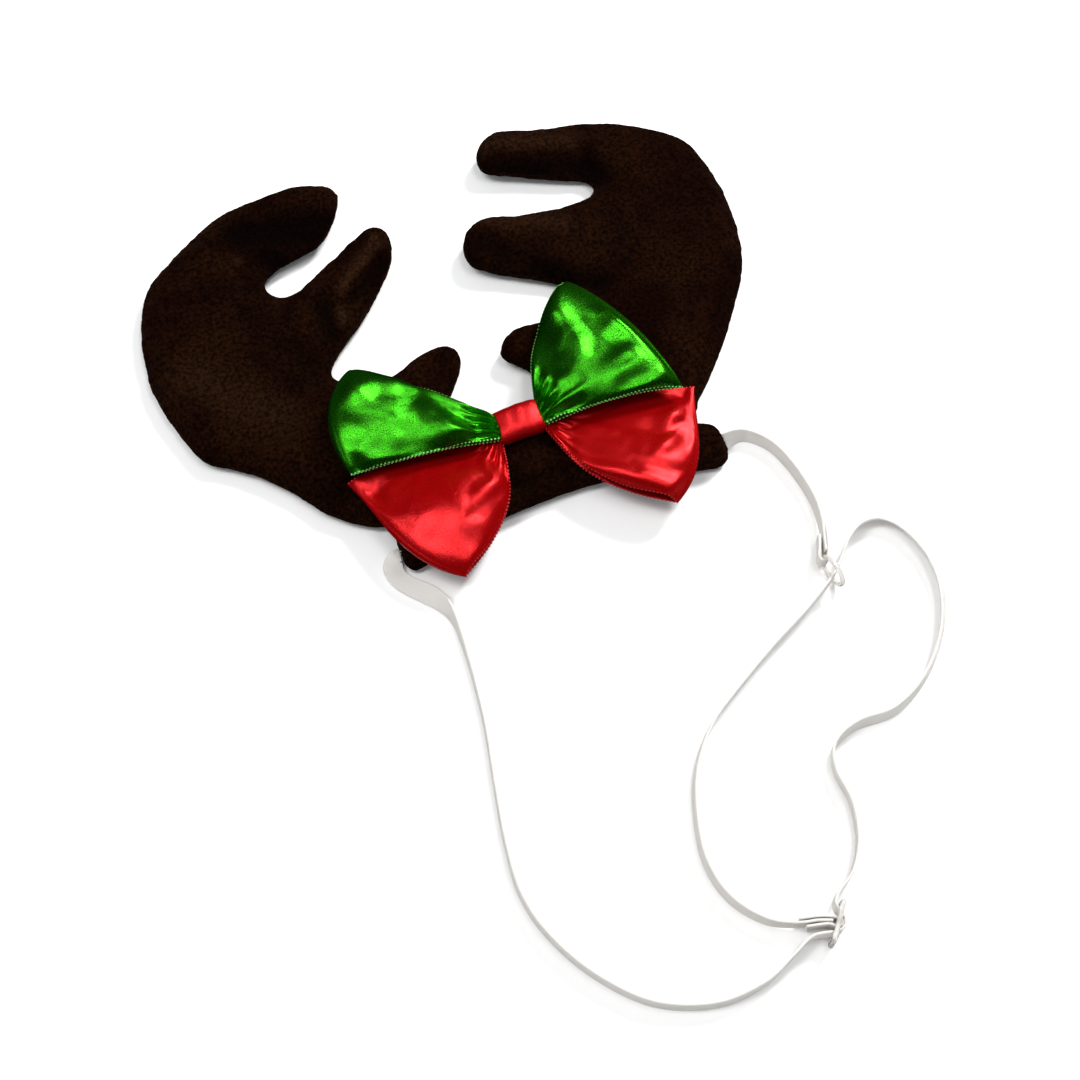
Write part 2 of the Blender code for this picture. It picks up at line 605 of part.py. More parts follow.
def main():
    clear_scene()
    parts = make_collection("reindeer_antler_headband")
    cutters = make_collection("guides")
    plush = make_material("brown_plush", (0.035, 0.014, 0.006), 0.9, 0.6)
    green = make_material("green_satin", (0.01, 0.22, 0.02), 0.35)
    red = make_material("red_satin", (0.55, 0.005, 0.012), 0.35)
    woven = make_material("cream_elastic", (0.72, 0.68, 0.6), 0.8)
    clear = make_material("clear_plastic", (0.85, 0.84, 0.8), 0.25)

    left = build_antler(
        "antler_left", -1, LEFT_ANTLER_RISE, LEFT_OUTLINE, LEFT_STEM_OUTER, LEFT_CURLS, LEFT_DENTS
    )
    right = build_antler(
        "antler_right", 1, RIGHT_ANTLER_RISE, RIGHT_OUTLINE, RIGHT_STEM_OUTER, RIGHT_CURLS, RIGHT_DENTS
    )
    place(left, parts, plush)
    place(right, parts, plush)
    place(build_headband(), parts, plush)
    place(build_ribbon("red_bow_ribbon", RED_LEFT, RED_RIGHT, RED_BELLY, 0), parts, red)
    green_bow = build_ribbon("green_bow_ribbon", GREEN_LEFT, GREEN_RIGHT, GREEN_BELLY, 2)
    place(green_bow, parts, green)
    place(build_wrap(), parts, red)
    profile = elastic_profile("elastic_section", cutters)
    left_along, left_drop = BAND_SECTIONS[0][:2]
    right_along, right_drop = BAND_SECTIONS[-1][:2]
    short_route = (exit_row(right_along, right_drop, SHORT_EXIT), *SHORT_ROUTE)
    long_route = (exit_row(left_along, left_drop, LONG_EXIT), *LONG_ROUTE)
    place(build_elastic("elastic_short", short_route, profile), parts, woven)
    place(build_elastic("elastic_long", long_route, profile), parts, woven)
    place(build_ring(), parts, clear)
    place(build_slider(), parts, clear)


main()
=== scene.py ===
"""Looks of the reindeer antler headband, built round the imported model.

The units are metres. X runs along the headband, +Y points to the antler tips, and Z = 0 is the table.
"""

import math

import bmesh
import bpy
import numpy as np
from mathutils import Matrix, Vector, noise


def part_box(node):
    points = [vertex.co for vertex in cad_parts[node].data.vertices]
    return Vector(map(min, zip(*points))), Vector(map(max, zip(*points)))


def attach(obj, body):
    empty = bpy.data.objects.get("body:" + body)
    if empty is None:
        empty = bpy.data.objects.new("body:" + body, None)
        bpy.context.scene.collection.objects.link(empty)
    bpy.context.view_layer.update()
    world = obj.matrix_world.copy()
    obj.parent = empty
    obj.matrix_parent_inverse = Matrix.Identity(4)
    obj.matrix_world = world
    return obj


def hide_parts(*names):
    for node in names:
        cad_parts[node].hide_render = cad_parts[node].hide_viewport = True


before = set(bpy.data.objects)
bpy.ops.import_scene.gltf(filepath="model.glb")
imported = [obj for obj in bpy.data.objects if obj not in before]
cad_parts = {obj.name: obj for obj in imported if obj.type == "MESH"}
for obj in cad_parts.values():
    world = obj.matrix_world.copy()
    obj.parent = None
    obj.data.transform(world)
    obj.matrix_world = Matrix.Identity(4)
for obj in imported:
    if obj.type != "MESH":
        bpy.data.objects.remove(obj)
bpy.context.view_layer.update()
MM = 0.001

# Camera, fitted to the photograph
CAMERA_PLACE = (-0.0851, -0.2227, 0.4851)
CAMERA_TARGET = (-0.0041, -0.0225, 0.0)
CAMERA_LENS = 60.0

# Elastic routes over the table, in millimetres
# Columns: x, y, lean from 0 (flat) to 1 (on edge), height of the lower edge, width share
SHORT_ROUTE = (
    (58.6, -14.5, 0.55, 1.6, 0.8), (61.0, -14.2, 0.75, 0.8, 1.0), (65.0, -14.6, 0.9, 0.2, 1.0),
    (69.0, -17.8, 0.95, 0.0, 1.0), (72.0, -22.6, 0.97, 0.0, 1.0), (74.0, -29.5, 0.97, 0.0, 1.0),
    (75.0, -36.5, 0.97, 0.0, 1.0), (75.1, -43.0, 0.97, 0.3, 1.0), (73.9, -49.5, 0.97, 1.0, 1.0),
    (72.0, -55.0, 1.0, 1.8, 1.0), (70.2, -59.7, 1.0, 2.5, 0.9),
)
LONG_ROUTE = (
    (-44.1, -12.76, 0.2, 1.6, 0.8), (-45.6, -12.6, 0.2, 1.2, 0.9), (-47.3, -14.6, 0.15, 0.6, 1.0),
    (-47.2, -18.4, 0.15, 0.2, 0.95), (-44.9, -22.3, 0.15, 0.0, 0.95), (-41.2, -26.5, 0.25, 0.0, 1.0),
    (-38.2, -31.2, 0.55, 0.0, 1.0), (-36.8, -37.0, 0.85, 0.0, 1.0), (-36.9, -44.5, 0.95, 0.0, 1.0),
    (-38.1, -57.0, 0.97, 0.0, 1.0), (-40.4, -72.0, 0.97, 0.0, 1.0), (-44.0, -88.0, 0.97, 0.0, 1.0),
    (-47.4, -105.0, 0.97, 0.0, 1.0), (-48.6, -119.0, 0.97, 0.0, 1.0), (-45.8, -132.0, 0.97, 0.0, 1.0),
    (-38.5, -146.0, 0.97, 0.0, 1.0), (-27.0, -158.5, 0.97, 0.0, 1.0), (-12.0, -165.0, 0.97, 0.0, 1.0),
    (2.0, -165.0, 0.97, 0.2, 1.0), (11.0, -161.8, 1.0, 0.9, 1.0), (18.0, -159.0, 1.0, 1.5, 1.0),
    (21.7, -159.3, 1.0, 1.65, 1.0), (24.6, -160.0, 1.0, 1.65, 1.0), (26.8, -160.1, 1.0, 1.65, 1.0),
    (28.2, -159.3, 1.0, 1.65, 1.0), (28.7, -157.8, 1.0, 1.65, 1.0), (28.4, -155.8, 1.0, 1.65, 1.0),
    (28.1, -153.7, 1.0, 1.65, 1.0), (29.0, -152.0, 1.0, 1.65, 1.0), (31.2, -150.2, 1.0, 1.2, 1.0),
    (36.8, -146.8, 1.0, 0.5, 1.0), (42.2, -139.5, 0.97, 0.0, 1.0), (45.2, -129.5, 0.95, 0.0, 1.0),
    (45.1, -119.5, 0.95, 0.0, 1.0), (48.2, -112.6, 0.95, 0.0, 1.0), (56.5, -109.6, 0.9, 0.0, 1.0),
    (68.0, -109.8, 0.9, 0.0, 1.0), (80.0, -104.5, 0.9, 0.0, 1.0), (90.5, -94.6, 0.85, 0.0, 1.0),
    (97.2, -82.5, 0.75, 0.0, 1.0), (99.0, -70.5, 0.65, 0.0, 1.0), (96.2, -59.8, 0.6, 0.0, 1.0),
    (90.5, -54.6, 0.7, 0.2, 1.0), (84.0, -54.7, 0.85, 0.8, 1.0), (78.0, -58.7, 1.0, 1.8, 1.0),
    (73.6, -63.3, 1.0, 2.7, 0.85), (69.6, -66.8, 1.0, 2.75, 0.85), (65.6, -69.3, 1.0, 2.0, 0.95),
    (57.0, -73.8, 0.97, 0.4, 1.0), (44.0, -79.8, 0.95, 0.0, 1.0), (31.0, -86.8, 0.95, 0.0, 1.0),
    (18.5, -94.6, 0.95, 0.0, 1.0), (9.0, -105.5, 0.95, 0.0, 1.0), (3.6, -118.0, 0.95, 0.0, 1.0),
    (1.2, -130.0, 0.95, 0.0, 1.0), (3.2, -141.0, 0.95, 0.0, 1.0), (9.5, -149.8, 0.97, 0.2, 1.0),
    (16.5, -154.0, 1.0, 0.9, 1.0), (22.0, -155.7, 1.0, 1.5, 1.0), (25.5, -157.2, 1.0, 1.65, 1.0),
)
# The short elastic's end, sewn back on itself round the ring
RING_FOLD_ROUTE = (
    (73.9, -52.2, 1.0, 1.9, 0.95), (73.0, -55.0, 1.0, 2.0, 0.95), (71.7, -58.4, 1.0, 2.4, 0.9),
    (70.7, -60.4, 1.0, 2.6, 0.88), (69.9, -61.9, 1.0, 2.7, 0.86), (68.9, -62.4, 1.0, 2.7, 0.86),
    (67.8, -61.9, 1.0, 2.7, 0.86), (67.6, -60.6, 1.0, 2.6, 0.88), (68.6, -58.9, 1.0, 2.5, 0.9),
    (69.6, -56.9, 1.0, 2.3, 0.95), (70.6, -54.6, 1.0, 2.0, 0.95),
)
# The long elastic's end, sewn round the slider's middle bar
SLIDER_FOLD_ROUTE = (
    (17.5, -153.3, 1.0, 1.2, 0.95), (21.0, -154.2, 1.0, 1.5, 0.95), (24.0, -155.2, 1.0, 1.65, 0.95),
    (26.2, -156.3, 1.0, 1.65, 0.95), (27.5, -157.3, 1.0, 1.65, 0.95), (27.9, -158.3, 1.0, 1.65, 0.95),
    (27.3, -159.0, 1.0, 1.65, 0.95), (26.2, -159.0, 1.0, 1.65, 0.95), (25.2, -158.4, 1.0, 1.65, 0.95),
    (24.3, -157.6, 1.0, 1.65, 0.95), (22.0, -156.9, 1.0, 1.6, 0.95), (18.5, -156.0, 1.0, 1.3, 0.95),
)
ELASTIC_WIDTH = 0.0060
ELASTIC_THICKNESS = 0.0009
ELASTIC_RIBS = 11
ELASTIC_SAMPLES = 30
# Half the ribs' depth, how far in from its edge the elastic thins and down to what share, all as
# shares of its half size
RIB_HALF_DEPTH = 0.14
EDGE_REACH = 0.08
EDGE_LEAST = 0.1
# The weave's scale along and across the elastic, and how far its back is set off from its front
WEAVE_ALONG = 10
WEAVE_ACROSS = 0.03
WEAVE_BACK = 0.1
ROUTE_STEP = 0.0012

RING_PLACE = (0.0699, -0.0655)
RING_HEADING = math.radians(-78)
RING_RADIUS = 0.0046
RING_WIRE = 0.0014
SLIDER_PLACE = (0.0266, -0.1580)
SLIDER_HEADING = math.radians(51)
SLIDER_LENGTH = 0.0122
SLIDER_HEIGHT = 0.0094
SLIDER_THICKNESS = 0.0013
SLIDER_BAR = 0.0013
# Rounding of its edges as a share of its thickness, and of its corners and slots as shares of its bar
SLIDER_ROUNDING = 0.38
SLIDER_CORNER = 1.3
SLOT_CORNER = 0.6

# Bow, with the part's own loops
BOW_FLOOR = 0.0098
BOW_REACH = 0.0550
BOW_SPREAD = 0.0425
BOW_RISE = 0.0140
FOLD_BULGE = 0.0050
FOLD_FLATNESS = 0.55
KNOT_PLACE = (0.0022, 0.0099)
KNOT_HALF_WIDTH = 0.0041
KNOT_LAYERS = {"red": (0.0111, 0.0124), "green": (0.0137, 0.0150)}
WRAP_LENGTH = 0.0135
RIBBON_WALL = 0.00030
# Columns: upper edge x and y, lower edge x and y, as shares of BOW_REACH and BOW_SPREAD from the knot,
# then as shares of BOW_RISE above BOW_FLOOR: the upper sheet's height at its upper edge, middle and
# lower edge, and the under sheet's height at its upper and lower edge, and last how far the sheets'
# middle stands outwards, as a share of FOLD_BULGE
GREEN_LEFT = (
    (-0.31, 0.34, -0.40, -0.06, 0.44, 0.74, 0.60, 0.22, 0.52, 0.0),
    (-0.53, 0.60, -0.69, -0.02, 0.42, 0.95, 0.62, 0.08, 0.54, 0.3),
    (-0.72, 0.80, -0.94, 0.01, 0.46, 0.94, 0.58, 0.06, 0.46, 1.0),
)
GREEN_RIGHT = (
    (0.20, 0.40, 0.40, -0.12, 0.46, 0.76, 0.60, 0.22, 0.52, 0.0),
    (0.35, 0.68, 0.67, -0.155, 0.46, 0.98, 0.62, 0.08, 0.54, 0.1),
    (0.54, 0.90, 0.88, -0.21, 0.50, 0.98, 0.58, 0.06, 0.46, 0.3),
)
RED_LEFT = (
    (-0.40, 0.04, -0.20, -0.48, 0.17, 0.32, 0.16, 0.03, 0.03, 0.0),
    (-0.69, 0.06, -0.37, -0.74, 0.18, 0.50, 0.15, 0.03, 0.03, 0.3),
    (-0.97, 0.02, -0.58, -0.92, 0.22, 0.40, 0.20, 0.03, 0.01, 0.8),
)
RED_RIGHT = (
    (0.40, -0.02, 0.23, -0.48, 0.17, 0.32, 0.16, 0.03, 0.03, 0.0),
    (0.69, -0.07, 0.40, -0.75, 0.18, 0.50, 0.15, 0.03, 0.03, 0.3),
    (0.97, -0.18, 0.61, -0.95, 0.22, 0.40, 0.20, 0.03, 0.01, 0.7),
)
GREEN_BELLY = 1.0
RED_BELLY = 1.5
BELLY_FLATNESS = 0.5
# How far the upper sheets roll down towards their folds, and the share of the loop where that starts
ROLL = 0.0022
ROLL_START = 0.80
# Least height of an upper sheet above its under sheet
LEAST_GAP = 0.0006
RIBBON_FLAT = (0.043, 0.203)

# Soft ridges (up) and hollows (down) in the upper sheets, in millimetres
# Columns: from x, from y, to x, to y, half width, height
GREEN_LEFT_FOLDS = (
    (-39.3, 33.3, -28.7, 31.4, 4.8, 1.9),
    (-24.6, 23.6, -14.0, 20.7, 6.9, -2.0),
    (-21.0, 18.4, -17.9, 11.3, 4.4, 2.2),
    (-43.0, 27.6, -31.3, 22.6, 2.6, 0.4),
    (-32.0, 20.3, -17.5, 12.0, 3.0, 0.7),
    (-44.3, 22.3, -26.3, 17.4, 7.4, -1.5),
    (-49.3, 11.0, -48.5, 11.4, 4.2, -1.9),
    (-37.9, 14.1, -11.1, -0.5, 4.9, -2.2),
    (-9.7, 12.0, -18.6, 20.0, 4.3, -2.4),
    (-18.1, 13.5, -39.4, 27.3, 4.1, 0.3),
    (-12.2, 20.5, -18.7, 30.8, 2.9, 1.4),
    (-43.7, 18.9, -16.8, 17.2, 3.7, -1.4),
    (-45.2, 23.2, -35.6, 14.5, 3.9, 1.0),
    (-32.6, 30.7, -24.0, 27.2, 4.8, -2.2),
    (-29.1, 14.5, -38.2, 16.6, 5.2, -1.8),
    (-21.2, 5.1, -40.2, 10.4, 2.8, 0.6),
    (-27.5, 16.9, -21.7, 19.9, 3.9, 0.9),
    (-16.5, 10.5, -18.1, 10.6, 4.9, 2.4),
    (-24.7, 19.2, -19.4, 19.7, 4.5, -2.0),
)
GREEN_RIGHT_FOLDS = (
    (18.4, 33.0, 17.3, 20.0, 5.3, -2.4),
    (27.2, 45.9, 23.6, 37.3, 4.2, 2.2),
    (28.3, 32.4, 26.2, 15.4, 3.2, 0.2),
    (14.0, 14.0, 13.9, 11.5, 6.9, 2.4),
    (34.9, 19.9, 27.4, 15.3, 5.3, -2.3),
    (39.0, 29.5, 53.3, 8.7, 4.5, 2.2),
    (45.9, 5.1, 30.2, 1.4, 2.2, 0.7),
    (31.5, 30.1, 25.9, 1.7, 4.7, -1.7),
    (26.7, 15.3, 25.4, 8.5, 5.3, 1.5),
    (13.8, 15.1, 15.8, 13.5, 3.3, -1.6),
    (27.5, 10.2, 14.7, 8.9, 2.5, 1.3),
    (9.8, 16.2, 28.9, 23.4, 3.1, 0.9),
    (36.5, 25.3, 42.0, 8.4, 2.8, 0.4),
    (27.5, 10.3, 17.4, 14.5, 2.8, -0.7),
    (34.5, 28.1, 27.5, 18.4, 4.8, -2.2),
    (22.9, 21.2, 12.6, 18.8, 3.4, -1.6),
    (30.7, 16.3, 38.4, 18.3, 2.9, -1.3),
    (38.0, 13.1, 13.0, 9.8, 2.2, -0.7),
    (17.9, 5.9, 40.9, 6.5, 3.2, -1.1),
    (26.6, 23.3, 26.5, 19.6, 3.6, 1.3),
    (33.1, 22.6, 22.0, 22.8, 5.5, -1.9),
)
RED_LEFT_FOLDS = (
    (-13.9, 9.8, -46.7, 4.6, 7.0, -2.4),
    (-32.7, 4.5, -40.1, -3.8, 6.1, -1.7),
    (-47.2, 8.3, -49.8, 10.1, 2.9, 1.2),
    (-45.9, -6.5, -39.9, -5.3, 4.0, 1.0),
    (-36.1, -0.4, -26.1, -27.6, 4.4, 0.8),
    (-9.4, -5.8, -17.0, -9.5, 4.4, 1.6),
    (-26.8, -20.8, -33.3, -13.2, 4.9, -1.1),
    (-29.4, 7.5, -38.7, -7.0, 2.6, 0.8),
    (-14.6, 5.9, -14.1, -4.0, 2.5, -1.1),
    (-7.6, -7.4, -9.3, 0.8, 2.7, -1.3),
    (-22.0, 4.3, -44.0, 8.3, 3.2, -0.6),
    (-15.8, -10.3, -4.6, -1.5, 4.8, 2.3),
    (-13.2, -4.7, -13.3, -8.2, 5.9, 2.4),
    (-22.9, -15.4, -7.3, -8.2, 2.2, -0.7),
    (-18.5, -2.8, -26.5, -15.5, 6.5, 1.1),
    (-21.5, 4.6, -40.0, 7.3, 3.8, 0.9),
    (-34.3, -6.3, -40.5, -1.2, 4.1, -0.8),
    (-40.2, 3.7, -27.1, 6.9, 2.8, 0.8),
)
RED_RIGHT_FOLDS = (
    (11.8, 5.9, 44.7, -10.4, 5.1, -2.3),
    (48.6, -3.1, 42.4, -8.2, 3.1, 1.5),
    (51.5, -14.3, 47.5, -20.0, 2.4, 1.1),
    (45.5, -10.6, 34.4, -16.9, 2.7, 1.3),
    (29.4, -22.2, 36.8, -28.7, 6.9, 2.4),
    (35.5, -28.0, 9.1, -6.7, 3.5, 1.9),
    (42.8, -0.3, 21.1, 2.3, 2.2, 0.3),
    (25.3, -12.0, 16.0, -5.5, 5.0, 1.2),
    (13.7, 6.0, 49.8, 0.2, 7.5, -2.4),
    (34.8, -15.7, 17.3, -10.2, 3.5, -0.8),
    (26.3, -11.6, 15.3, -3.2, 4.3, -1.9),
    (21.0, -0.2, 25.5, -2.9, 3.5, 0.9),
    (15.4, 0.3, 28.9, -8.9, 5.9, -1.6),
    (36.1, -23.9, 27.9, -15.6, 3.1, -1.3),
    (24.1, -1.3, 17.6, 3.2, 2.4, 1.1),
    (41.0, 3.1, 27.2, 0.2, 7.5, -2.4),
    (39.1, -24.1, 28.5, -18.0, 2.5, -1.1),
    (29.7, 6.3, 11.7, 5.1, 5.2, -2.4),
)

# Relief of the antlers' upper faces, in millimetres, in the same columns
LEFT_ANTLER_FOLDS = (
    (-55.0, 106.5, -28.0, 99.0, 6.0, -1.7),
    (-48.5, 96.5, -45.0, 93.5, 4.5, -1.5),
    (-60.5, 110.0, -58.0, 98.0, 3.5, 0.5),
    (-35.0, 64.5, -29.5, 75.0, 2.2, 0.9),
    (-29.5, 75.0, -15.0, 86.5, 2.6, 0.9),
    (-38.5, 72.0, -38.5, 62.0, 3.2, -1.2),
    (-31.0, 70.5, -15.5, 79.5, 2.8, -1.1),
    (-57.0, 75.0, -50.0, 52.0, 6.0, -0.6),
    (-70.0, 90.0, -52.0, 86.0, 4.0, -0.5),
    (-84.0, 62.0, -62.0, 40.0, 8.0, 0.4),
)
RIGHT_ANTLER_FOLDS = (
    (32.0, 99.5, 57.0, 91.0, 3.6, -1.2),
    (57.5, 91.0, 60.0, 85.5, 4.2, -1.6),
    (14.0, 75.5, 29.0, 62.0, 4.0, -0.9),
    (29.0, 61.5, 44.0, 48.0, 4.0, -1.2),
    (30.0, 107.0, 56.0, 100.0, 4.5, 0.5),
    (20.0, 82.0, 42.0, 72.0, 4.0, 0.5),
    (58.0, 70.0, 54.0, 52.0, 6.0, -0.5),
)
BAND_FOLDS = (
    (-10.0, -6.0, 10.0, -7.5, 1.6, -0.6),
    (8.0, 3.0, 24.0, -4.0, 2.2, -0.7),
    (20.0, -9.0, 34.0, -12.0, 1.6, -0.6),
)

# Plush where the pile lies flat and where it is turned. Columns: colour in its dark and light specks
PLUSH_COLOURS = (
    ((0.0013, 0.0002, 0.0001), (0.0056, 0.0011, 0.0002)),
    ((0.0024, 0.0005, 0.0001), (0.0118, 0.0036, 0.0011)),
)
# Painted shade in the plush's hollows and painted highlight on its ridges, in the same columns after
# the name
PLUSH_SHADES = (
    ("painted_ridge_highlight", (0.0070, 0.0024, 0.0009), (0.0260, 0.0110, 0.0048)),
    ("painted_hollow_shade", (0.0004, 0.0001, 0.0001), (0.0022, 0.0006, 0.0002)),
)
# Satin. Columns: colour in its deep, bright and glinting threads, metallic share, specular level,
# specular tint, and least and most roughness
GREEN_SATIN = (
    (0.001, 0.12, 0.0004), (0.006, 0.23, 0.001), (0.08, 0.46, 0.018),
    0.95, 1.0, (0.65, 1.0, 0.45), (0.16, 0.40),
)
RED_SATIN = (
    (0.34, 0.0, 0.0002), (0.44, 0.0001, 0.0005), (0.62, 0.003, 0.006),
    0.62, 0.6, (1.0, 0.7, 0.74), (0.14, 0.34),
)
# Sewing thread. Columns: colour in its dark and light turns
GREEN_THREAD = ((0.07, 0.42, 0.05), (0.30, 0.72, 0.21))
RED_THREAD = ((0.34, 0.002, 0.004), (0.52, 0.012, 0.016))

# How finely the plush is meshed, and how often it is evened out and then softened
PLUSH_VOXEL = 0.0018
EVEN_STEPS = 9
SOFTEN_STEPS = 3
PLUSH_LEVELS = 2
# How far its stuffing swells it, and how steep a face counts as its sewn edge
PUFF_SCALE = 8
PUFF_SHRINK = -0.02
PUFF_PRESSURE = 4.0
PUFF_FRAMES = 20
PUFF_CAP = 0.0009
CLOTH_QUALITY = 6
CLOTH_MASS = 0.3
CLOTH_STRETCH = 15
CLOTH_BEND = 0.6
SEAM_SLOPE = 0.35
# The gathers at the headband's left and right ends, with y of each end's middle and the height of both
GATHER_REACH = 0.011
GATHERS = 11
GATHER_HEIGHT = 0.0005
GATHER_MIDDLES = (-0.0128, -0.0145)
GATHER_LEVEL = 0.0042
# Unevenness of the pile. Columns: size and height of the lumps
BROAD_LUMPS = (0.011, 0.00035)
SMALL_LUMPS = (0.0035, 0.00012)
PILE_GRAIN = (0.0011, 0.00010)
# How fast the relief fades in as a face turns up, and the most painted shade or painted highlight that
# hollows and ridges may give it
UPWARD_GAIN = 1.4
MOST_SHADE = 0.95

# How sharply ridges that meet merge into one
MERGE = 4.0
# How far apart in the noise two seeds lie
SEED_STEP = (7.3, 3.1, 1.7)
# Depth of relief at which the painted shade in hollows is darkest, and height at which the painted
# highlight on ridges is lightest
HOLLOW_DARKEST = 0.0013
RIDGE_LIGHTEST = 0.0010

# How finely the bow is meshed, its pleats at the knot and its picot edges
LOOP_STEPS = 60
ACROSS_STEPS = 48
FOLD_STEPS = 9
PLEATS = 4
PLEAT_DEPTH = 0.0014
PLEAT_AT_KNOT = 0.35
PLEAT_PEAK = 0.07
PLEAT_END = 0.36
PLEAT_SLANT = 1.2
UNDER_PLEAT = 0.8
# Shares of a loop's length between which the folds have their full height
FOLDS_FULL = 0.2
FOLDS_FADE = 0.9
PICOT_STEP = 0.00115
PICOT_LENGTH = 0.00075
PICOT_HEIGHT = 0.00062

# The wrap: how finely it is meshed, how square its section is, how far it lies inside its solid's box,
# its wall, how far its rims turn in and how far it sways along its length
WRAP_ROUND = 72
WRAP_ALONG = 40
WRAP_SQUARENESS = 3.0
WRAP_INSET = 0.0002
WRAP_SHEET = 0.0006
WRAP_RIM = 0.0005
WRAP_SWAY = 0.0004
# Its broad and fine creases' height and waves, and how far and from where the broad ones drift
BROAD_CREASE = 0.00010
BROAD_WAVES = 4.2
FINE_CREASE = 0.00004
FINE_WAVES = 11
CREASE_DRIFT = 1.1
DRIFT_START = 0.6
# Steps of its weave round it and along it
WRAP_WEAVE = (0.0011, 0.0005)


# Shared shapes

def add_object(name, data):
    thing = bpy.data.objects.new(name, data)
    bpy.context.scene.collection.objects.link(thing)
    return thing


def finished(thing, material):
    """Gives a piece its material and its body."""
    thing.data.materials.clear()
    thing.data.materials.append(material)
    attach(thing, "root")
    return thing


def mesh_object(name, points, faces, uvs=None):
    mesh = bpy.data.meshes.new(name)
    mesh.from_pydata([tuple(point) for point in points], [], faces)
    if uvs is not None:
        layer = mesh.uv_layers.new(name="UVMap")
        corners = np.zeros(len(mesh.loops), np.int32)
        mesh.loops.foreach_get("vertex_index", corners)
        layer.data.foreach_set("uv", np.asarray(uvs, np.float32)[corners].ravel())
    shape = bmesh.new()
    shape.from_mesh(mesh)
    bmesh.ops.recalc_face_normals(shape, faces=shape.faces)
    shape.to_mesh(mesh)
    shape.free()
    mesh.shade_smooth()
    return add_object(name, mesh)


def grid_faces(rows, columns, wrap_rows=False, wrap_columns=False):
    faces = []
    for row in range(rows if wrap_rows else rows - 1):
        near = row * columns
        far = (row + 1) % rows * columns
        for column in range(columns if wrap_columns else columns - 1):
            after = (column + 1) % columns
            faces.append((near + column, near + after, far + after, far + column))
    return faces


def apply_modifiers(thing):
    """Makes what the modifiers give the object's own mesh."""
    graph = bpy.context.evaluated_depsgraph_get()
    mesh = bpy.data.meshes.new_from_object(thing.evaluated_get(graph))
    thing.modifiers.clear()
    thing.data = mesh
    return thing


def points_of(thing):
    flat = np.zeros(len(thing.data.vertices) * 3, np.float32)
    thing.data.vertices.foreach_get("co", flat)
    return flat.reshape(-1, 3).astype(float)


def normals_of(thing):
    flat = np.zeros(len(thing.data.vertices) * 3, np.float32)
    thing.data.vertex_normals.foreach_get("vector", flat)
    return flat.reshape(-1, 3).astype(float)


def set_points(thing, points):
    thing.data.vertices.foreach_set("co", points.astype(np.float32).ravel())
    thing.data.update()


def smooth_value(rows, position):
    """The rows' values at a position between 0 and the last row, on a smooth curve through them."""
    last = len(rows) - 1
    start = min(int(position), last - 1)
    part = position - start
    before = rows[max(start - 1, 0)]
    after = rows[min(start + 2, last)]
    values = []
    for a, b, c, d in zip(before, rows[start], rows[start + 1], after):
        slope_in = (c - a) / 2
        slope_out = (d - b) / 2
        rise = c - b
        cubic = slope_in + slope_out - 2 * rise
        square = 3 * rise - 2 * slope_in - slope_out
        values.append(b + part * (slope_in + part * (square + part * cubic)))
    return values


def ease(value):
    value = np.clip(value, 0.0, 1.0)
    return value * value * (3 - 2 * value)


def relief(points, folds):
    """Height of the soft ridges and hollows at each point, in metres. Where two meet they merge."""
    plan = np.asarray(points, float).reshape(-1, 3)[:, :2]
    ridges = np.zeros(len(plan))
    hollows = np.zeros(len(plan))
    for from_x, from_y, to_x, to_y, half_width, height in folds:
        start = np.array((from_x, from_y)) * MM
        run = np.array((to_x, to_y)) * MM - start
        share = np.clip((plan - start) @ run / (run @ run), 0, 1)
        away = np.linalg.norm(plan - start - share[:, None] * run, axis=1)
        swell = (abs(height) * np.exp(-((away / (half_width * MM)) ** 2))) ** MERGE
        if height > 0:
            ridges += swell
        else:
            hollows += swell
    return (ridges ** (1 / MERGE) - hollows ** (1 / MERGE)) * MM


def cloud(points, size, seed):
    """Smooth noise about 0 at each point, with lumps of about that size."""
    shift = Vector([seed * step for step in SEED_STEP])
    return np.array([noise.noise(Vector(point) / size + shift) for point in points])


# Materials

def new_material(name):
    material = bpy.data.materials.new(name)
    material.use_nodes = True
    nodes = material.node_tree.nodes
    return material, nodes, material.node_tree.links, nodes["Principled BSDF"]


def noise_node(nodes, links, place, scale, detail, distortion=0.0):
    texture = nodes.new("ShaderNodeTexNoise")
    texture.inputs["Scale"].default_value = scale
    texture.inputs["Detail"].default_value = detail
    texture.inputs["Distortion"].default_value = distortion
    links.new(place, texture.inputs["Vector"])
    return texture.outputs["Fac"]


def ramp_node(nodes, links, factor, *stops):
    """Runs from one colour to another. Each of the two stops is a position and a colour."""
    ramp = nodes.new("ShaderNodeValToRGB")
    for element, (position, colour) in zip(ramp.color_ramp.elements, stops):
        element.position = position
        element.color = (*colour, 1)
    links.new(factor, ramp.inputs["Fac"])
    return ramp.outputs["Color"]


def mix_colours(nodes, links, factor, first, second, blend="MIX"):
    mix = nodes.new("ShaderNodeMix")
    mix.data_type = "RGBA"
    mix.blend_type = blend
    if isinstance(factor, float):
        mix.inputs[0].default_value = factor
    else:
        links.new(factor, mix.inputs[0])
    links.new(first, mix.inputs[6])
    links.new(second, mix.inputs[7])
    return mix.outputs[2]


def bump_node(nodes, links, height, distance, strength, under=None):
    bump = nodes.new("ShaderNodeBump")
    bump.inputs["Distance"].default_value = distance
    bump.inputs["Strength"].default_value = strength
    links.new(height, bump.inputs["Height"])
    if under is not None:
        links.new(under, bump.inputs["Normal"])
    return bump.outputs["Normal"]


def value_range(nodes, links, value, low, high):
    spread = nodes.new("ShaderNodeMapRange")
    spread.inputs["To Min"].default_value = low
    spread.inputs["To Max"].default_value = high
    links.new(value, spread.inputs["Value"])
    return spread.outputs["Result"]


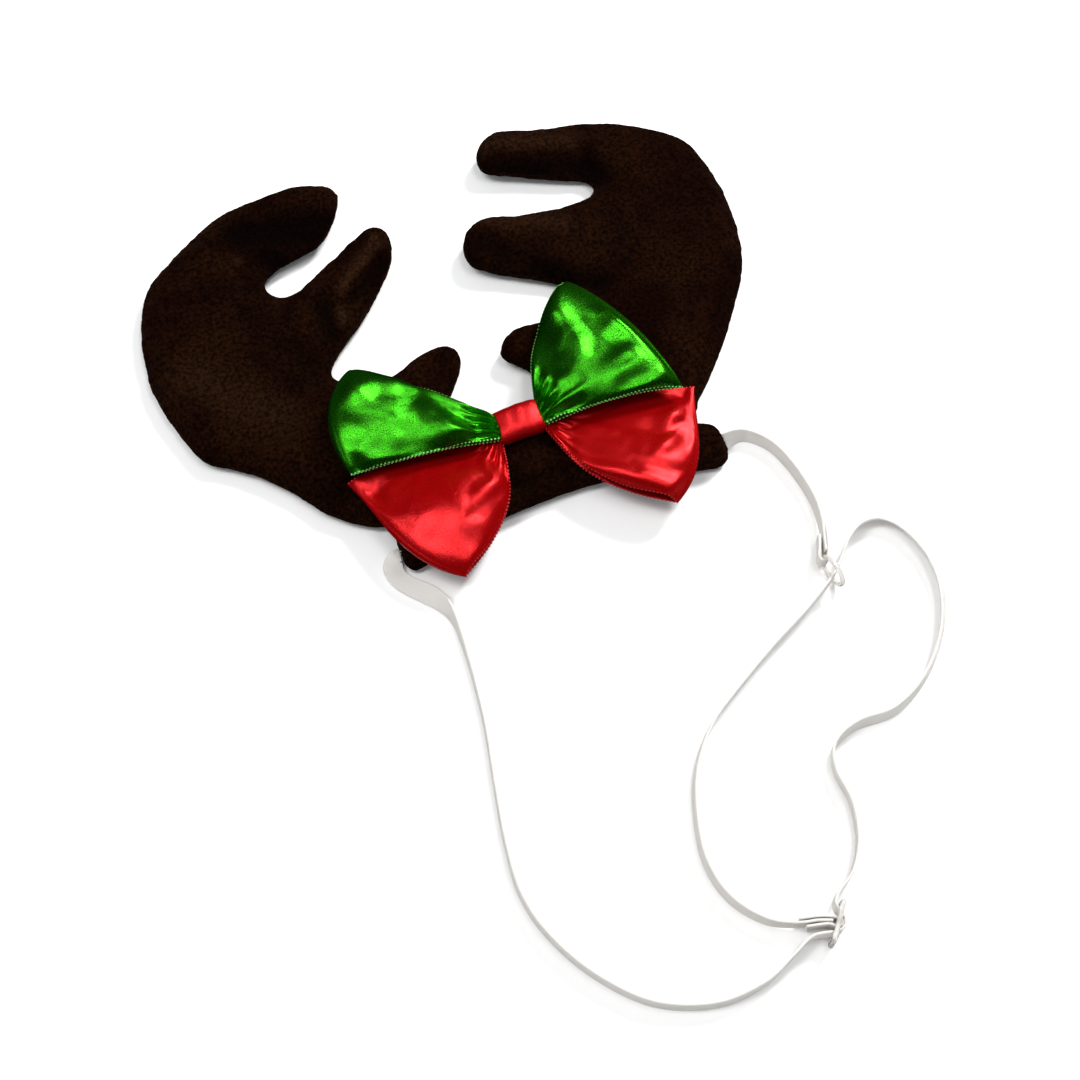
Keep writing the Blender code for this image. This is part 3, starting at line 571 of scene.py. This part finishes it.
def plush_material():
    """Short crushed pile: dark brown, patches of turned pile, fine speckle; painted shade in hollows,
    painted highlight on ridges.
    """
    material, nodes, links, shader = new_material("brown_plush")
    place = nodes.new("ShaderNodeTexCoord").outputs["Object"]
    patches = noise_node(nodes, links, place, scale=55.0, detail=4.0, distortion=0.8)
    speckle = noise_node(nodes, links, place, scale=900.0, detail=3.0)
    fine = noise_node(nodes, links, place, scale=2600.0, detail=1.0)
    dark, light = (
        ramp_node(nodes, links, speckle, (0.36, low), (0.66, high)) for low, high in PLUSH_COLOURS
    )
    turned = ramp_node(nodes, links, patches, (0.36, (0.0, 0.0, 0.0)), (0.62, (1.0, 1.0, 1.0)))
    pile = mix_colours(nodes, links, turned, dark, light)
    # Painted shade darkens the hollows and a painted highlight lightens the ridges, by the relief's
    # point attributes
    for name, low, high in PLUSH_SHADES:
        amount = nodes.new("ShaderNodeAttribute")
        amount.attribute_name = name
        painted_shading_tone = ramp_node(nodes, links, speckle, (0.34, low), (0.70, high))
        pile = mix_colours(nodes, links, amount.outputs["Fac"], pile, painted_shading_tone)
    links.new(pile, shader.inputs["Base Color"])
    links.new(value_range(nodes, links, speckle, low=0.72, high=0.95), shader.inputs["Roughness"])
    shader.inputs["Specular IOR Level"].default_value = 0.01
    shader.inputs["Sheen Weight"].default_value = 0.026
    shader.inputs["Sheen Roughness"].default_value = 0.42
    shader.inputs["Sheen Tint"].default_value = (0.80, 0.40, 0.22, 1.0)
    soft = bump_node(nodes, links, speckle, distance=0.0006, strength=0.55)
    pointed = bump_node(nodes, links, fine, distance=0.00025, strength=0.6, under=soft)
    links.new(pointed, shader.inputs["Normal"])
    return material


def satin_material(name, look):
    """Satin: floating threads along the ribbon give a coloured, stretched gloss."""
    deep, bright, grain, metallic, level, tint, roughness = look
    material, nodes, links, shader = new_material(name)
    place = nodes.new("ShaderNodeTexCoord").outputs["UV"]
    stretch = nodes.new("ShaderNodeMapping")
    stretch.inputs["Scale"].default_value = (1.0, 9.0, 1.0)
    links.new(place, stretch.inputs["Vector"])
    threads = noise_node(nodes, links, stretch.outputs["Vector"], scale=900.0, detail=2.0)
    sparkle = noise_node(nodes, links, place, scale=2600.0, detail=3.0)
    cloudy = noise_node(nodes, links, place, scale=70.0, detail=2.0)
    tone = ramp_node(nodes, links, cloudy, (0.3, deep), (0.7, bright))
    glint = ramp_node(nodes, links, sparkle, (0.38, bright), (0.62, grain))
    links.new(mix_colours(nodes, links, 0.6, tone, glint), shader.inputs["Base Color"])
    links.new(value_range(nodes, links, sparkle, *roughness), shader.inputs["Roughness"])
    shader.inputs["Metallic"].default_value = metallic
    shader.inputs["Specular IOR Level"].default_value = level
    shader.inputs["Specular Tint"].default_value = (*tint, 1.0)
    shader.inputs["Anisotropic"].default_value = 0.35
    tangent = nodes.new("ShaderNodeTangent")
    tangent.direction_type = "UV_MAP"
    tangent.uv_map = "UVMap"
    links.new(tangent.outputs["Tangent"], shader.inputs["Tangent"])
    weave = bump_node(nodes, links, threads, distance=0.00005, strength=0.5)
    grainy = bump_node(nodes, links, sparkle, distance=0.00013, strength=0.7, under=weave)
    links.new(grainy, shader.inputs["Normal"])
    return material


def woven_material():
    """Off-white flat elastic: fine ribs along it, crossed by a finer thread."""
    material, nodes, links, shader = new_material("cream_elastic")
    place = nodes.new("ShaderNodeTexCoord").outputs["UV"]
    cross = nodes.new("ShaderNodeTexWave")
    cross.bands_direction = "X"
    cross.inputs["Scale"].default_value = 330.0
    cross.inputs["Distortion"].default_value = 0.6
    links.new(place, cross.inputs["Vector"])
    shade = noise_node(nodes, links, place, scale=260.0, detail=3.0)
    lines = cross.outputs["Fac"]
    tone = ramp_node(nodes, links, shade, (0.25, (0.93, 0.90, 0.85)), (0.75, (0.97, 0.95, 0.91)))
    gaps = ramp_node(nodes, links, lines, (0.0, (0.88, 0.86, 0.82)), (0.6, (1.0, 1.0, 1.0)))
    links.new(mix_colours(nodes, links, 0.6, tone, gaps, "MULTIPLY"), shader.inputs["Base Color"])
    links.new(value_range(nodes, links, shade, low=0.62, high=0.82), shader.inputs["Roughness"])
    shader.inputs["Sheen Weight"].default_value = 0.15
    ribbed = bump_node(nodes, links, lines, distance=0.00012, strength=0.7)
    links.new(ribbed, shader.inputs["Normal"])
    return material


def plastic_material():
    """Milky clear plastic of the ring and the slider."""
    material, nodes, links, shader = new_material("milky_plastic")
    place = nodes.new("ShaderNodeTexCoord").outputs["Object"]
    flow = noise_node(nodes, links, place, scale=420.0, detail=2.0)
    tone = ramp_node(nodes, links, flow, (0.3, (0.78, 0.76, 0.71)), (0.7, (0.90, 0.89, 0.86)))
    links.new(tone, shader.inputs["Base Color"])
    links.new(value_range(nodes, links, flow, low=0.12, high=0.26), shader.inputs["Roughness"])
    shader.inputs["Transmission Weight"].default_value = 0.55
    shader.inputs["IOR"].default_value = 1.47
    uneven = bump_node(nodes, links, flow, distance=0.00008, strength=0.3)
    links.new(uneven, shader.inputs["Normal"])
    return material


def thread_material(name, low, high):
    material, nodes, links, shader = new_material(name)
    place = nodes.new("ShaderNodeTexCoord").outputs["Object"]
    twist = noise_node(nodes, links, place, scale=1800.0, detail=2.0)
    links.new(ramp_node(nodes, links, twist, (0.3, low), (0.7, high)), shader.inputs["Base Color"])
    links.new(value_range(nodes, links, twist, low=0.35, high=0.6), shader.inputs["Roughness"])
    twisted = bump_node(nodes, links, twist, distance=0.0001, strength=0.5)
    links.new(twisted, shader.inputs["Normal"])
    return material


def floor_material():
    material, nodes, links, shader = new_material("table")
    place = nodes.new("ShaderNodeTexCoord").outputs["Object"]
    mottle = noise_node(nodes, links, place, scale=30.0, detail=2.0)
    tone = ramp_node(nodes, links, mottle, (0.2, (0.90, 0.90, 0.895)), (0.8, (0.925, 0.925, 0.92)))
    links.new(tone, shader.inputs["Base Color"])
    shader.inputs["Roughness"].default_value = 0.9
    return material


# Camera, lights and table

def aim(thing, target):
    thing.rotation_euler = (Vector(target) - thing.location).to_track_quat("-Z", "Y").to_euler()


def add_camera():
    data = bpy.data.cameras.new("camera")
    data.lens = CAMERA_LENS
    data.sensor_width = 36.0
    data.clip_start = 0.01
    data.clip_end = 20.0
    camera = add_object("camera", data)
    camera.location = CAMERA_PLACE
    aim(camera, CAMERA_TARGET)
    bpy.context.scene.camera = camera


# Columns: name, place, size across and along, power, target
LIGHTS = (
    ("key", (0.75, 0.42, 0.85), (0.28, 0.28), 15.0, (0.0, 0.0, 0.0)),
    ("left_box", (-0.40, 0.06, 1.05), (0.26, 0.45), 5.5, (0.0, 0.0, 0.01)),
    ("front_box", (0.18, -0.16, 1.15), (0.40, 0.10), 3.0, (0.0, 0.0, 0.01)),
)
WORLD_COLOUR = (0.97, 0.98, 1.0, 1.0)
WORLD_STRENGTH = 0.48
TABLE_HALF = 3.0
TABLE_DROP = 0.0001


def add_lights():
    for name, place, size, power, target in LIGHTS:
        data = bpy.data.lights.new(name, "AREA")
        data.shape = "RECTANGLE"
        data.size, data.size_y = size
        data.energy = power
        lamp = add_object(name, data)
        lamp.location = place
        aim(lamp, target)
    world = bpy.data.worlds.new("studio")
    world.use_nodes = True
    background = world.node_tree.nodes["Background"]
    background.inputs["Color"].default_value = WORLD_COLOUR
    background.inputs["Strength"].default_value = WORLD_STRENGTH
    world.cycles_visibility.glossy = False
    bpy.context.scene.world = world
    bpy.context.scene.view_settings.view_transform = "Standard"


def add_table():
    corners = [(x * TABLE_HALF, y * TABLE_HALF, 0) for x, y in ((-1, -1), (1, -1), (1, 1), (-1, 1))]
    table = mesh_object("table", corners, [(0, 1, 2, 3)])
    table.data.materials.append(floor_material())
    table.location.z = -TABLE_DROP
    table.visible_glossy = False


# Elastic

def strap_rows(route):
    """The route's rows at even small steps on a smooth curve through its points."""
    rows = []
    for index, (here, after) in enumerate(zip(route, route[1:])):
        steps = max(1, round(math.dist(here[:2], after[:2]) * MM / ROUTE_STEP))
        rows += [smooth_value(route, index + step / steps) for step in range(steps)]
    return rows + [route[-1]]


def strap_section():
    """Outline of the elastic's section. Columns: across and up, both as shares of their half size."""
    across = np.linspace(-1, 1, ELASTIC_SAMPLES)
    ribs = 1 - RIB_HALF_DEPTH + RIB_HALF_DEPTH * np.cos(across * math.pi * ELASTIC_RIBS)
    edge = np.sqrt(np.clip((1 - np.abs(across)) / EDGE_REACH, 0, 1)) * (1 - EDGE_LEAST) + EDGE_LEAST
    upper = list(zip(across, ribs * edge))
    return upper + [(u, -v) for u, v in reversed(upper)]


def build_strap(name, route):
    """A flat elastic along a route, and the points down its middle."""
    rows = strap_rows(route)
    section = strap_section()
    middles = []
    for x, y, lean, base, width in rows:
        turn = math.radians(90) * lean
        upright = ELASTIC_WIDTH * math.sin(turn) + ELASTIC_THICKNESS * math.cos(turn)
        middles.append(Vector((x * MM, y * MM, base * MM + width * upright / 2)))
    points = []
    uvs = []
    run = 0.0
    for index, ((_, _, lean, _, width), middle) in enumerate(zip(rows, middles)):
        ahead = (middles[min(index + 1, len(rows) - 1)] - middles[max(index - 1, 0)]).normalized()
        side = Vector((0, 0, 1)).cross(ahead).normalized()
        above = ahead.cross(side)
        turn = math.radians(90) * lean
        across = side * math.cos(turn) + above * math.sin(turn)
        out = above * math.cos(turn) - side * math.sin(turn)
        run += (middle - middles[max(index - 1, 0)]).length
        for u, v in section:
            sideways = across * (u * width * ELASTIC_WIDTH / 2)
            points.append(middle + sideways + out * (v * ELASTIC_THICKNESS / 2))
            uvs.append((run * WEAVE_ALONG, u * WEAVE_ACROSS + (0.0 if v > 0 else WEAVE_BACK)))
    faces = grid_faces(len(rows), len(section), wrap_columns=True)
    last = len(points) - len(section)
    faces.append(tuple(range(len(section))))
    faces.append(tuple(range(last, len(points))))
    return mesh_object(name, points, faces, uvs), middles


def build_ring():
    bpy.ops.mesh.primitive_torus_add(
        major_radius=RING_RADIUS, minor_radius=RING_WIRE / 2, major_segments=72, minor_segments=20
    )
    ring = bpy.context.object
    ring.name = "clear_ring"
    ring.rotation_euler = (math.radians(90), 0, RING_HEADING)
    ring.location = (*RING_PLACE, RING_RADIUS + RING_WIRE / 2)
    ring.data.shade_smooth()
    return ring


def rounded_rectangle(width, height, radius, corner_steps):
    points = []
    for corner, (sign_x, sign_y) in enumerate(((1, 1), (-1, 1), (-1, -1), (1, -1))):
        for step in range(corner_steps + 1):
            turn = math.radians(90 * (corner + step / corner_steps))
            x = sign_x * (width / 2 - radius) + radius * math.cos(turn)
            y = sign_y * (height / 2 - radius) + radius * math.sin(turn)
            points.append((x, y))
    return points


def build_slider():
    """The figure-of-eight slider with rounded bars."""
    slot_length = (SLIDER_LENGTH - 3 * SLIDER_BAR) / 2
    slot_height = SLIDER_HEIGHT - 2 * SLIDER_BAR
    outlines = [rounded_rectangle(SLIDER_LENGTH, SLIDER_HEIGHT, SLIDER_BAR * SLIDER_CORNER, 8)]
    for side in (-1, 1):
        slot = rounded_rectangle(slot_length, slot_height, SLIDER_BAR * SLOT_CORNER, 6)
        outlines.append([(x + side * (slot_length + SLIDER_BAR) / 2, y) for x, y in slot])
    curve = bpy.data.curves.new("clear_slider", "CURVE")
    curve.dimensions = "2D"
    curve.fill_mode = "BOTH"
    rounding = SLIDER_THICKNESS * SLIDER_ROUNDING
    curve.extrude = SLIDER_THICKNESS / 2 - rounding
    curve.bevel_depth = rounding
    curve.offset = -rounding
    curve.bevel_resolution = 4
    for outline in outlines:
        spline = curve.splines.new("POLY")
        spline.points.add(len(outline) - 1)
        for point, (x, y) in zip(spline.points, outline):
            point.co = (x, y, 0, 1)
        spline.use_cyclic_u = True
    slider = add_object("clear_slider", curve)
    slider.rotation_euler = (math.radians(90), 0, SLIDER_HEADING)
    slider.location = (*SLIDER_PLACE, SLIDER_HEIGHT / 2)
    bpy.context.view_layer.update()
    mesh = bpy.data.meshes.new_from_object(slider.evaluated_get(bpy.context.evaluated_depsgraph_get()))
    mesh.transform(slider.matrix_world)
    bpy.data.objects.remove(slider)
    return add_object("clear_slider", mesh)


# Padded plush

def fused_copy(name, node):
    """A copy of a CAD node as one even quad mesh."""
    piece = add_object(name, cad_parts[node].data.copy())
    shape = bmesh.new()
    shape.from_mesh(piece.data)
    bmesh.ops.remove_doubles(shape, verts=shape.verts, dist=1e-6)
    shape.to_mesh(piece.data)
    shape.free()
    remesh = piece.modifiers.new("Remesh", "REMESH")
    remesh.mode = "VOXEL"
    remesh.voxel_size = PLUSH_VOXEL
    even = piece.modifiers.new("Even", "SMOOTH")
    even.factor = 0.5
    even.iterations = EVEN_STEPS
    model = add_object("model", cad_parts[node].data.copy())
    wrap = piece.modifiers.new("Wrap", "SHRINKWRAP")
    wrap.target = model
    wrap.wrap_method = "NEAREST_SURFACEPOINT"
    soften = piece.modifiers.new("Soften", "SMOOTH")
    soften.factor = 0.5
    soften.iterations = SOFTEN_STEPS
    apply_modifiers(piece)
    bpy.data.objects.remove(model)
    return piece


def puff(piece):
    """Swells the plush as stuffed cloth, with its sewn edge held and its underside on the table."""
    rest = points_of(piece)
    low = rest[:, 2].min()
    held = piece.vertex_groups.new(name="seam")
    for index, normal in enumerate(normals_of(piece)):
        if abs(normal[2]) < SEAM_SLOPE:
            held.add([index], 1.0, "REPLACE")
    piece.data.transform(Matrix.Scale(PUFF_SCALE, 4))
    cloth = piece.modifiers.new("Cloth", "CLOTH")
    settings = cloth.settings
    settings.quality = CLOTH_QUALITY
    settings.mass = CLOTH_MASS
    settings.tension_stiffness = CLOTH_STRETCH
    settings.compression_stiffness = CLOTH_STRETCH
    settings.bending_stiffness = CLOTH_BEND
    settings.shrink_min = PUFF_SHRINK
    settings.use_pressure = True
    settings.uniform_pressure_force = PUFF_PRESSURE
    settings.vertex_group_mass = "seam"
    settings.effector_weights.gravity = 0
    cloth.collision_settings.use_collision = False
    cloth.point_cache.frame_start = 1
    cloth.point_cache.frame_end = PUFF_FRAMES
    for step in range(1, PUFF_FRAMES + 1):
        bpy.context.scene.frame_set(step)
    apply_modifiers(piece)
    move = points_of(piece) / PUFF_SCALE - rest
    length = np.linalg.norm(move, axis=1, keepdims=True)
    move *= np.minimum(1.0, PUFF_CAP / np.maximum(length, 1e-9))
    swollen = rest + move
    swollen[:, 2] = np.maximum(swollen[:, 2], low)
    set_points(piece, swollen)
    bpy.context.scene.frame_set(1)


def refine(piece):
    smooth = piece.modifiers.new("Smooth", "SUBSURF")
    smooth.levels = PLUSH_LEVELS
    smooth.render_levels = PLUSH_LEVELS
    apply_modifiers(piece)


def add_relief(piece, folds, seed):
    """Hollows, ridges and the soft unevenness of short pile, on the upper face, and the attributes for
    painted shade in the hollows and a painted highlight on the ridges.
    """
    points = points_of(piece)
    normals = normals_of(piece)
    upward = ease(normals[:, 2] * UPWARD_GAIN)
    rise = relief(points, folds)
    points[:, 2] += rise * upward
    # Point attributes that paint shade into the hollows and a highlight onto the ridges, for the plush
    # material
    for name, amount in (("painted_hollow_shade", -rise / HOLLOW_DARKEST), ("painted_ridge_highlight", rise / RIDGE_LIGHTEST)):
        shade = piece.data.attributes.new(name, "FLOAT", "POINT")
        shade.data.foreach_set("value", np.clip(amount * upward, 0, MOST_SHADE).astype(np.float32))
    broad, small, grain = (
        cloud(points, size, seed + step) * height
        for step, (size, height) in enumerate((BROAD_LUMPS, SMALL_LUMPS, PILE_GRAIN))
    )
    points += normals * ((broad + small) * upward + grain)[:, None]
    points[:, 2] = np.maximum(points[:, 2], 0.0)
    set_points(piece, points)


def gather_ends(piece):
    """Radial puckers at the headband's sewn ends."""
    points = points_of(piece)
    normals = normals_of(piece)
    along = points[:, 0]
    from_end = np.minimum(along - along.min(), along.max() - along)
    strength = ease(1 - from_end / GATHER_REACH)
    middle = np.where(along < 0, *GATHER_MIDDLES)
    angle = np.arctan2(points[:, 2] - GATHER_LEVEL, points[:, 1] - middle)
    points += normals * (np.cos(angle * GATHERS) * strength * GATHER_HEIGHT)[:, None]
    points[:, 2] = np.maximum(points[:, 2], 0.0)
    set_points(piece, points)


def build_plush(name, node, folds, seed):
    piece = fused_copy(name, node)
    puff(piece)
    refine(piece)
    add_relief(piece, folds, seed)
    return piece


# Bow

def loop_rows(rows, side, layers):
    """The loop's rows in metres from the knot, with the row at the knot put first."""
    under_layer, upper_layer = layers
    knot_x = side * WRAP_LENGTH / 2
    first = [knot_x, KNOT_HALF_WIDTH, knot_x, -KNOT_HALF_WIDTH]
    first += [upper_layer] * 3 + [under_layer] * 2 + [0.0]
    table = [first]
    for upper_x, upper_y, lower_x, lower_y, *heights, bulge in rows:
        row = [upper_x * BOW_REACH, upper_y * BOW_SPREAD, lower_x * BOW_REACH, lower_y * BOW_SPREAD]
        row += [BOW_FLOOR + height * BOW_RISE for height in heights]
        row.append(bulge * FOLD_BULGE)
        table.append(row)
    return table


def pleat(out, across):
    """Gathers that run out from the knot and die away."""
    rise = float(ease(out / PLEAT_PEAK))
    fall = float(1 - ease((out - PLEAT_PEAK) / (PLEAT_END - PLEAT_PEAK)))
    wave = math.sin(2 * math.pi * PLEATS * across + PLEAT_SLANT * out)
    return PLEAT_DEPTH * (PLEAT_AT_KNOT + (1 - PLEAT_AT_KNOT) * rise) * fall * wave


def loop_point(table, belly_place, out, across, is_upper):
    values = smooth_value(table, out * (len(table) - 1))
    upper_x, upper_y, lower_x, lower_y, top_a, belly, top_b, under_a, under_b, bulge = values
    x = upper_x + (lower_x - upper_x) * across
    y = upper_y + (lower_y - upper_y) * across
    round_part = math.sin(math.pi * across ** belly_place)
    push = bulge * round_part
    away = Vector((x, y)).normalized()
    if is_upper:
        flatter = max(0.0, round_part) ** BELLY_FLATNESS
        z = top_a + (top_b - top_a) * across + (belly - (top_a + top_b) / 2) * flatter
        z += pleat(out, across) - ROLL * max(0.0, (out - ROLL_START) / (1 - ROLL_START)) ** 2
    else:
        z = under_a + (under_b - under_a) * across - pleat(out, across) * UNDER_PLEAT
    return Vector((KNOT_PLACE[0] + x + away.x * push, KNOT_PLACE[1] + y + away.y * push, z))


def loop_sections(table, belly_place, folds):
    """Sections of a loop from the knot along the upper sheet, round the fold and back below."""
    shares = [index / ACROSS_STEPS for index in range(ACROSS_STEPS + 1)]
    outs = [index / LOOP_STEPS for index in range(LOOP_STEPS + 1)]
    upper = [[loop_point(table, belly_place, out, across, True) for across in shares] for out in outs]
    under = [[loop_point(table, belly_place, out, across, False) for across in shares] for out in outs]
    ends = list(zip(upper[-1], under[-1]))
    for out, section, under_section in zip(outs, upper, under):
        keep = float(ease(out / FOLDS_FULL)) * float(1 - ease((out - FOLDS_FADE) / (1 - FOLDS_FADE)))
        rises = relief([tuple(point) for point in section], folds)
        for point, rise, below in zip(section, rises, under_section):
            point.z = max(point.z + rise * keep, below.z + LEAST_GAP)
    sections = list(upper)
    for step in range(1, FOLD_STEPS):
        turn = math.pi * step / FOLD_STEPS
        section = []
        for top, bottom in ends:
            middle = (top + bottom) / 2
            radius = (top.z - bottom.z) / 2
            away = Vector((middle.x - KNOT_PLACE[0], middle.y - KNOT_PLACE[1], 0)).normalized()
            lift = Vector((0, 0, radius * math.cos(turn)))
            section.append(middle + away * radius * FOLD_FLATNESS * math.sin(turn) + lift)
        sections.append(section)
    return sections + list(reversed(under))


def build_ribbon(name, loops, belly_place, layers):
    """One ribbon, and its two long edges as lists of points."""
    left_rows, left_folds, right_rows, right_folds = loops
    left = loop_sections(loop_rows(left_rows, -1, layers), belly_place, left_folds)
    right = loop_sections(loop_rows(right_rows, 1, layers), belly_place, right_folds)
    sections = left + list(reversed(right))
    width = ACROSS_STEPS + 1
    points = []
    uvs = []
    run = 0.0
    for index, section in enumerate(sections):
        run += (section[width // 2] - sections[max(index - 1, 0)][width // 2]).length
        points += section
        uvs += [(run, column / ACROSS_STEPS * RIBBON_FLAT[0]) for column in range(width)]
    ribbon = mesh_object(name, points, grid_faces(len(sections), width, wrap_rows=True), uvs)
    wall = ribbon.modifiers.new("Wall", "SOLIDIFY")
    wall.thickness = RIBBON_WALL
    wall.offset = 0.0
    apply_modifiers(ribbon)
    ribbon.data.set_sharp_from_angle(angle=math.radians(50))
    return ribbon, [[section[0] for section in sections], [section[-1] for section in sections]]


def build_stitches(name, edges):
    """Small picot loops along a ribbon's woven edges."""
    shape = bmesh.new()
    for edge in edges:
        carried = 0.0
        for here, after in zip(edge, edge[1:]):
            step = (after - here).length
            while carried < step:
                place = here.lerp(after, carried / step)
                turn = (after - here).to_track_quat("X", "Z").to_matrix().to_4x4()
                size = Matrix.Diagonal((PICOT_LENGTH, PICOT_HEIGHT, PICOT_HEIGHT, 1))
                bmesh.ops.create_icosphere(
                    shape, subdivisions=1, radius=0.5, matrix=Matrix.Translation(place) @ turn @ size
                )
                carried += PICOT_STEP
            carried -= step
    mesh = bpy.data.meshes.new(name)
    shape.to_mesh(mesh)
    shape.free()
    mesh.shade_smooth()
    return add_object(name, mesh)


def build_wrap():
    """The red wrap round the knot: a soft band about the X axis, with creases that run round it."""
    low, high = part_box("bow_centre_wrap")
    middle = (low + high) / 2
    half_y = (high.y - low.y) / 2 - WRAP_INSET
    half_z = (high.z - low.z) / 2 - WRAP_INSET
    power = 2 / WRAP_SQUARENESS
    points = []
    uvs = []
    for row in range(WRAP_ROUND):
        turn = 2 * math.pi * row / WRAP_ROUND
        y = math.copysign(abs(math.cos(turn)) ** power, math.cos(turn)) * half_y
        z = math.copysign(abs(math.sin(turn)) ** power, math.sin(turn)) * half_z
        for column in range(WRAP_ALONG + 1):
            share = 2 * column / WRAP_ALONG - 1
            drift = CREASE_DRIFT * math.sin(turn + DRIFT_START)
            crease = BROAD_CREASE * math.sin(share * BROAD_WAVES + drift)
            crease += FINE_CREASE * math.sin(share * FINE_WAVES + turn)
            rim = -WRAP_RIM * abs(share) ** 6
            out = Vector((0, y, z)).normalized() * (crease + rim)
            x = share * (high.x - low.x) / 2 + WRAP_SWAY * math.sin(turn * 2 + share)
            points.append(middle + Vector((x, y, z)) + out)
            uvs.append((row * WRAP_WEAVE[0], column * WRAP_WEAVE[1]))
    faces = grid_faces(WRAP_ROUND, WRAP_ALONG + 1, wrap_rows=True)
    wrap = mesh_object("red_centre_wrap", points, faces, uvs)
    wall = wrap.modifiers.new("Wall", "SOLIDIFY")
    wall.thickness = WRAP_SHEET
    wall.offset = -1.0
    apply_modifiers(wrap)
    wrap.data.shade_smooth()
    return wrap


def main():
    add_camera()
    add_lights()
    add_table()

    woven = woven_material()
    plastic = plastic_material()

    short, short_path = build_strap("elastic_short_woven", SHORT_ROUTE)
    long, long_path = build_strap("elastic_long_woven", LONG_ROUTE)
    ring_fold, _ = build_strap("elastic_short_sewn_end", RING_FOLD_ROUTE)
    slider_fold, _ = build_strap("elastic_long_sewn_end", SLIDER_FOLD_ROUTE)
    ring = build_ring()
    slider = build_slider()
    for piece in (short, long, ring_fold, slider_fold):
        finished(piece, woven)
    for piece in (ring, slider):
        finished(piece, plastic)
    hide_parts("elastic_short")
    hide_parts("elastic_long")
    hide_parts("adjuster_ring")
    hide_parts("adjuster_slider")

    plush = plush_material()
    for name, node, folds, seed in (
        ("antler_left_plush", "antler_left", LEFT_ANTLER_FOLDS, 3),
        ("antler_right_plush", "antler_right", RIGHT_ANTLER_FOLDS, 8),
        ("headband_plush", "headband", BAND_FOLDS, 13),
    ):
        piece = build_plush(name, node, folds, seed)
        if node == "headband":
            gather_ends(piece)
        piece.data.shade_smooth()
        finished(piece, plush)
        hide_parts(node)

    green = satin_material("green_satin", GREEN_SATIN)
    red = satin_material("red_satin", RED_SATIN)
    green_thread = thread_material("green_thread", *GREEN_THREAD)
    red_thread = thread_material("red_thread", *RED_THREAD)
    green_loops = (GREEN_LEFT, GREEN_LEFT_FOLDS, GREEN_RIGHT, GREEN_RIGHT_FOLDS)
    red_loops = (RED_LEFT, RED_LEFT_FOLDS, RED_RIGHT, RED_RIGHT_FOLDS)
    ribbons = (
        ("green", green_loops, GREEN_BELLY, green, green_thread),
        ("red", red_loops, RED_BELLY, red, red_thread),
    )
    for colour, loops, belly_place, satin, thread in ribbons:
        ribbon, edges = build_ribbon(f"{colour}_ribbon_satin", loops, belly_place, KNOT_LAYERS[colour])
        stitches = build_stitches(f"{colour}_ribbon_edging", edges)
        finished(ribbon, satin)
        finished(stitches, thread)
        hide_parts(f"{colour}_bow_ribbon")
    wrap = finished(build_wrap(), red)
    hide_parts("bow_centre_wrap")


main()
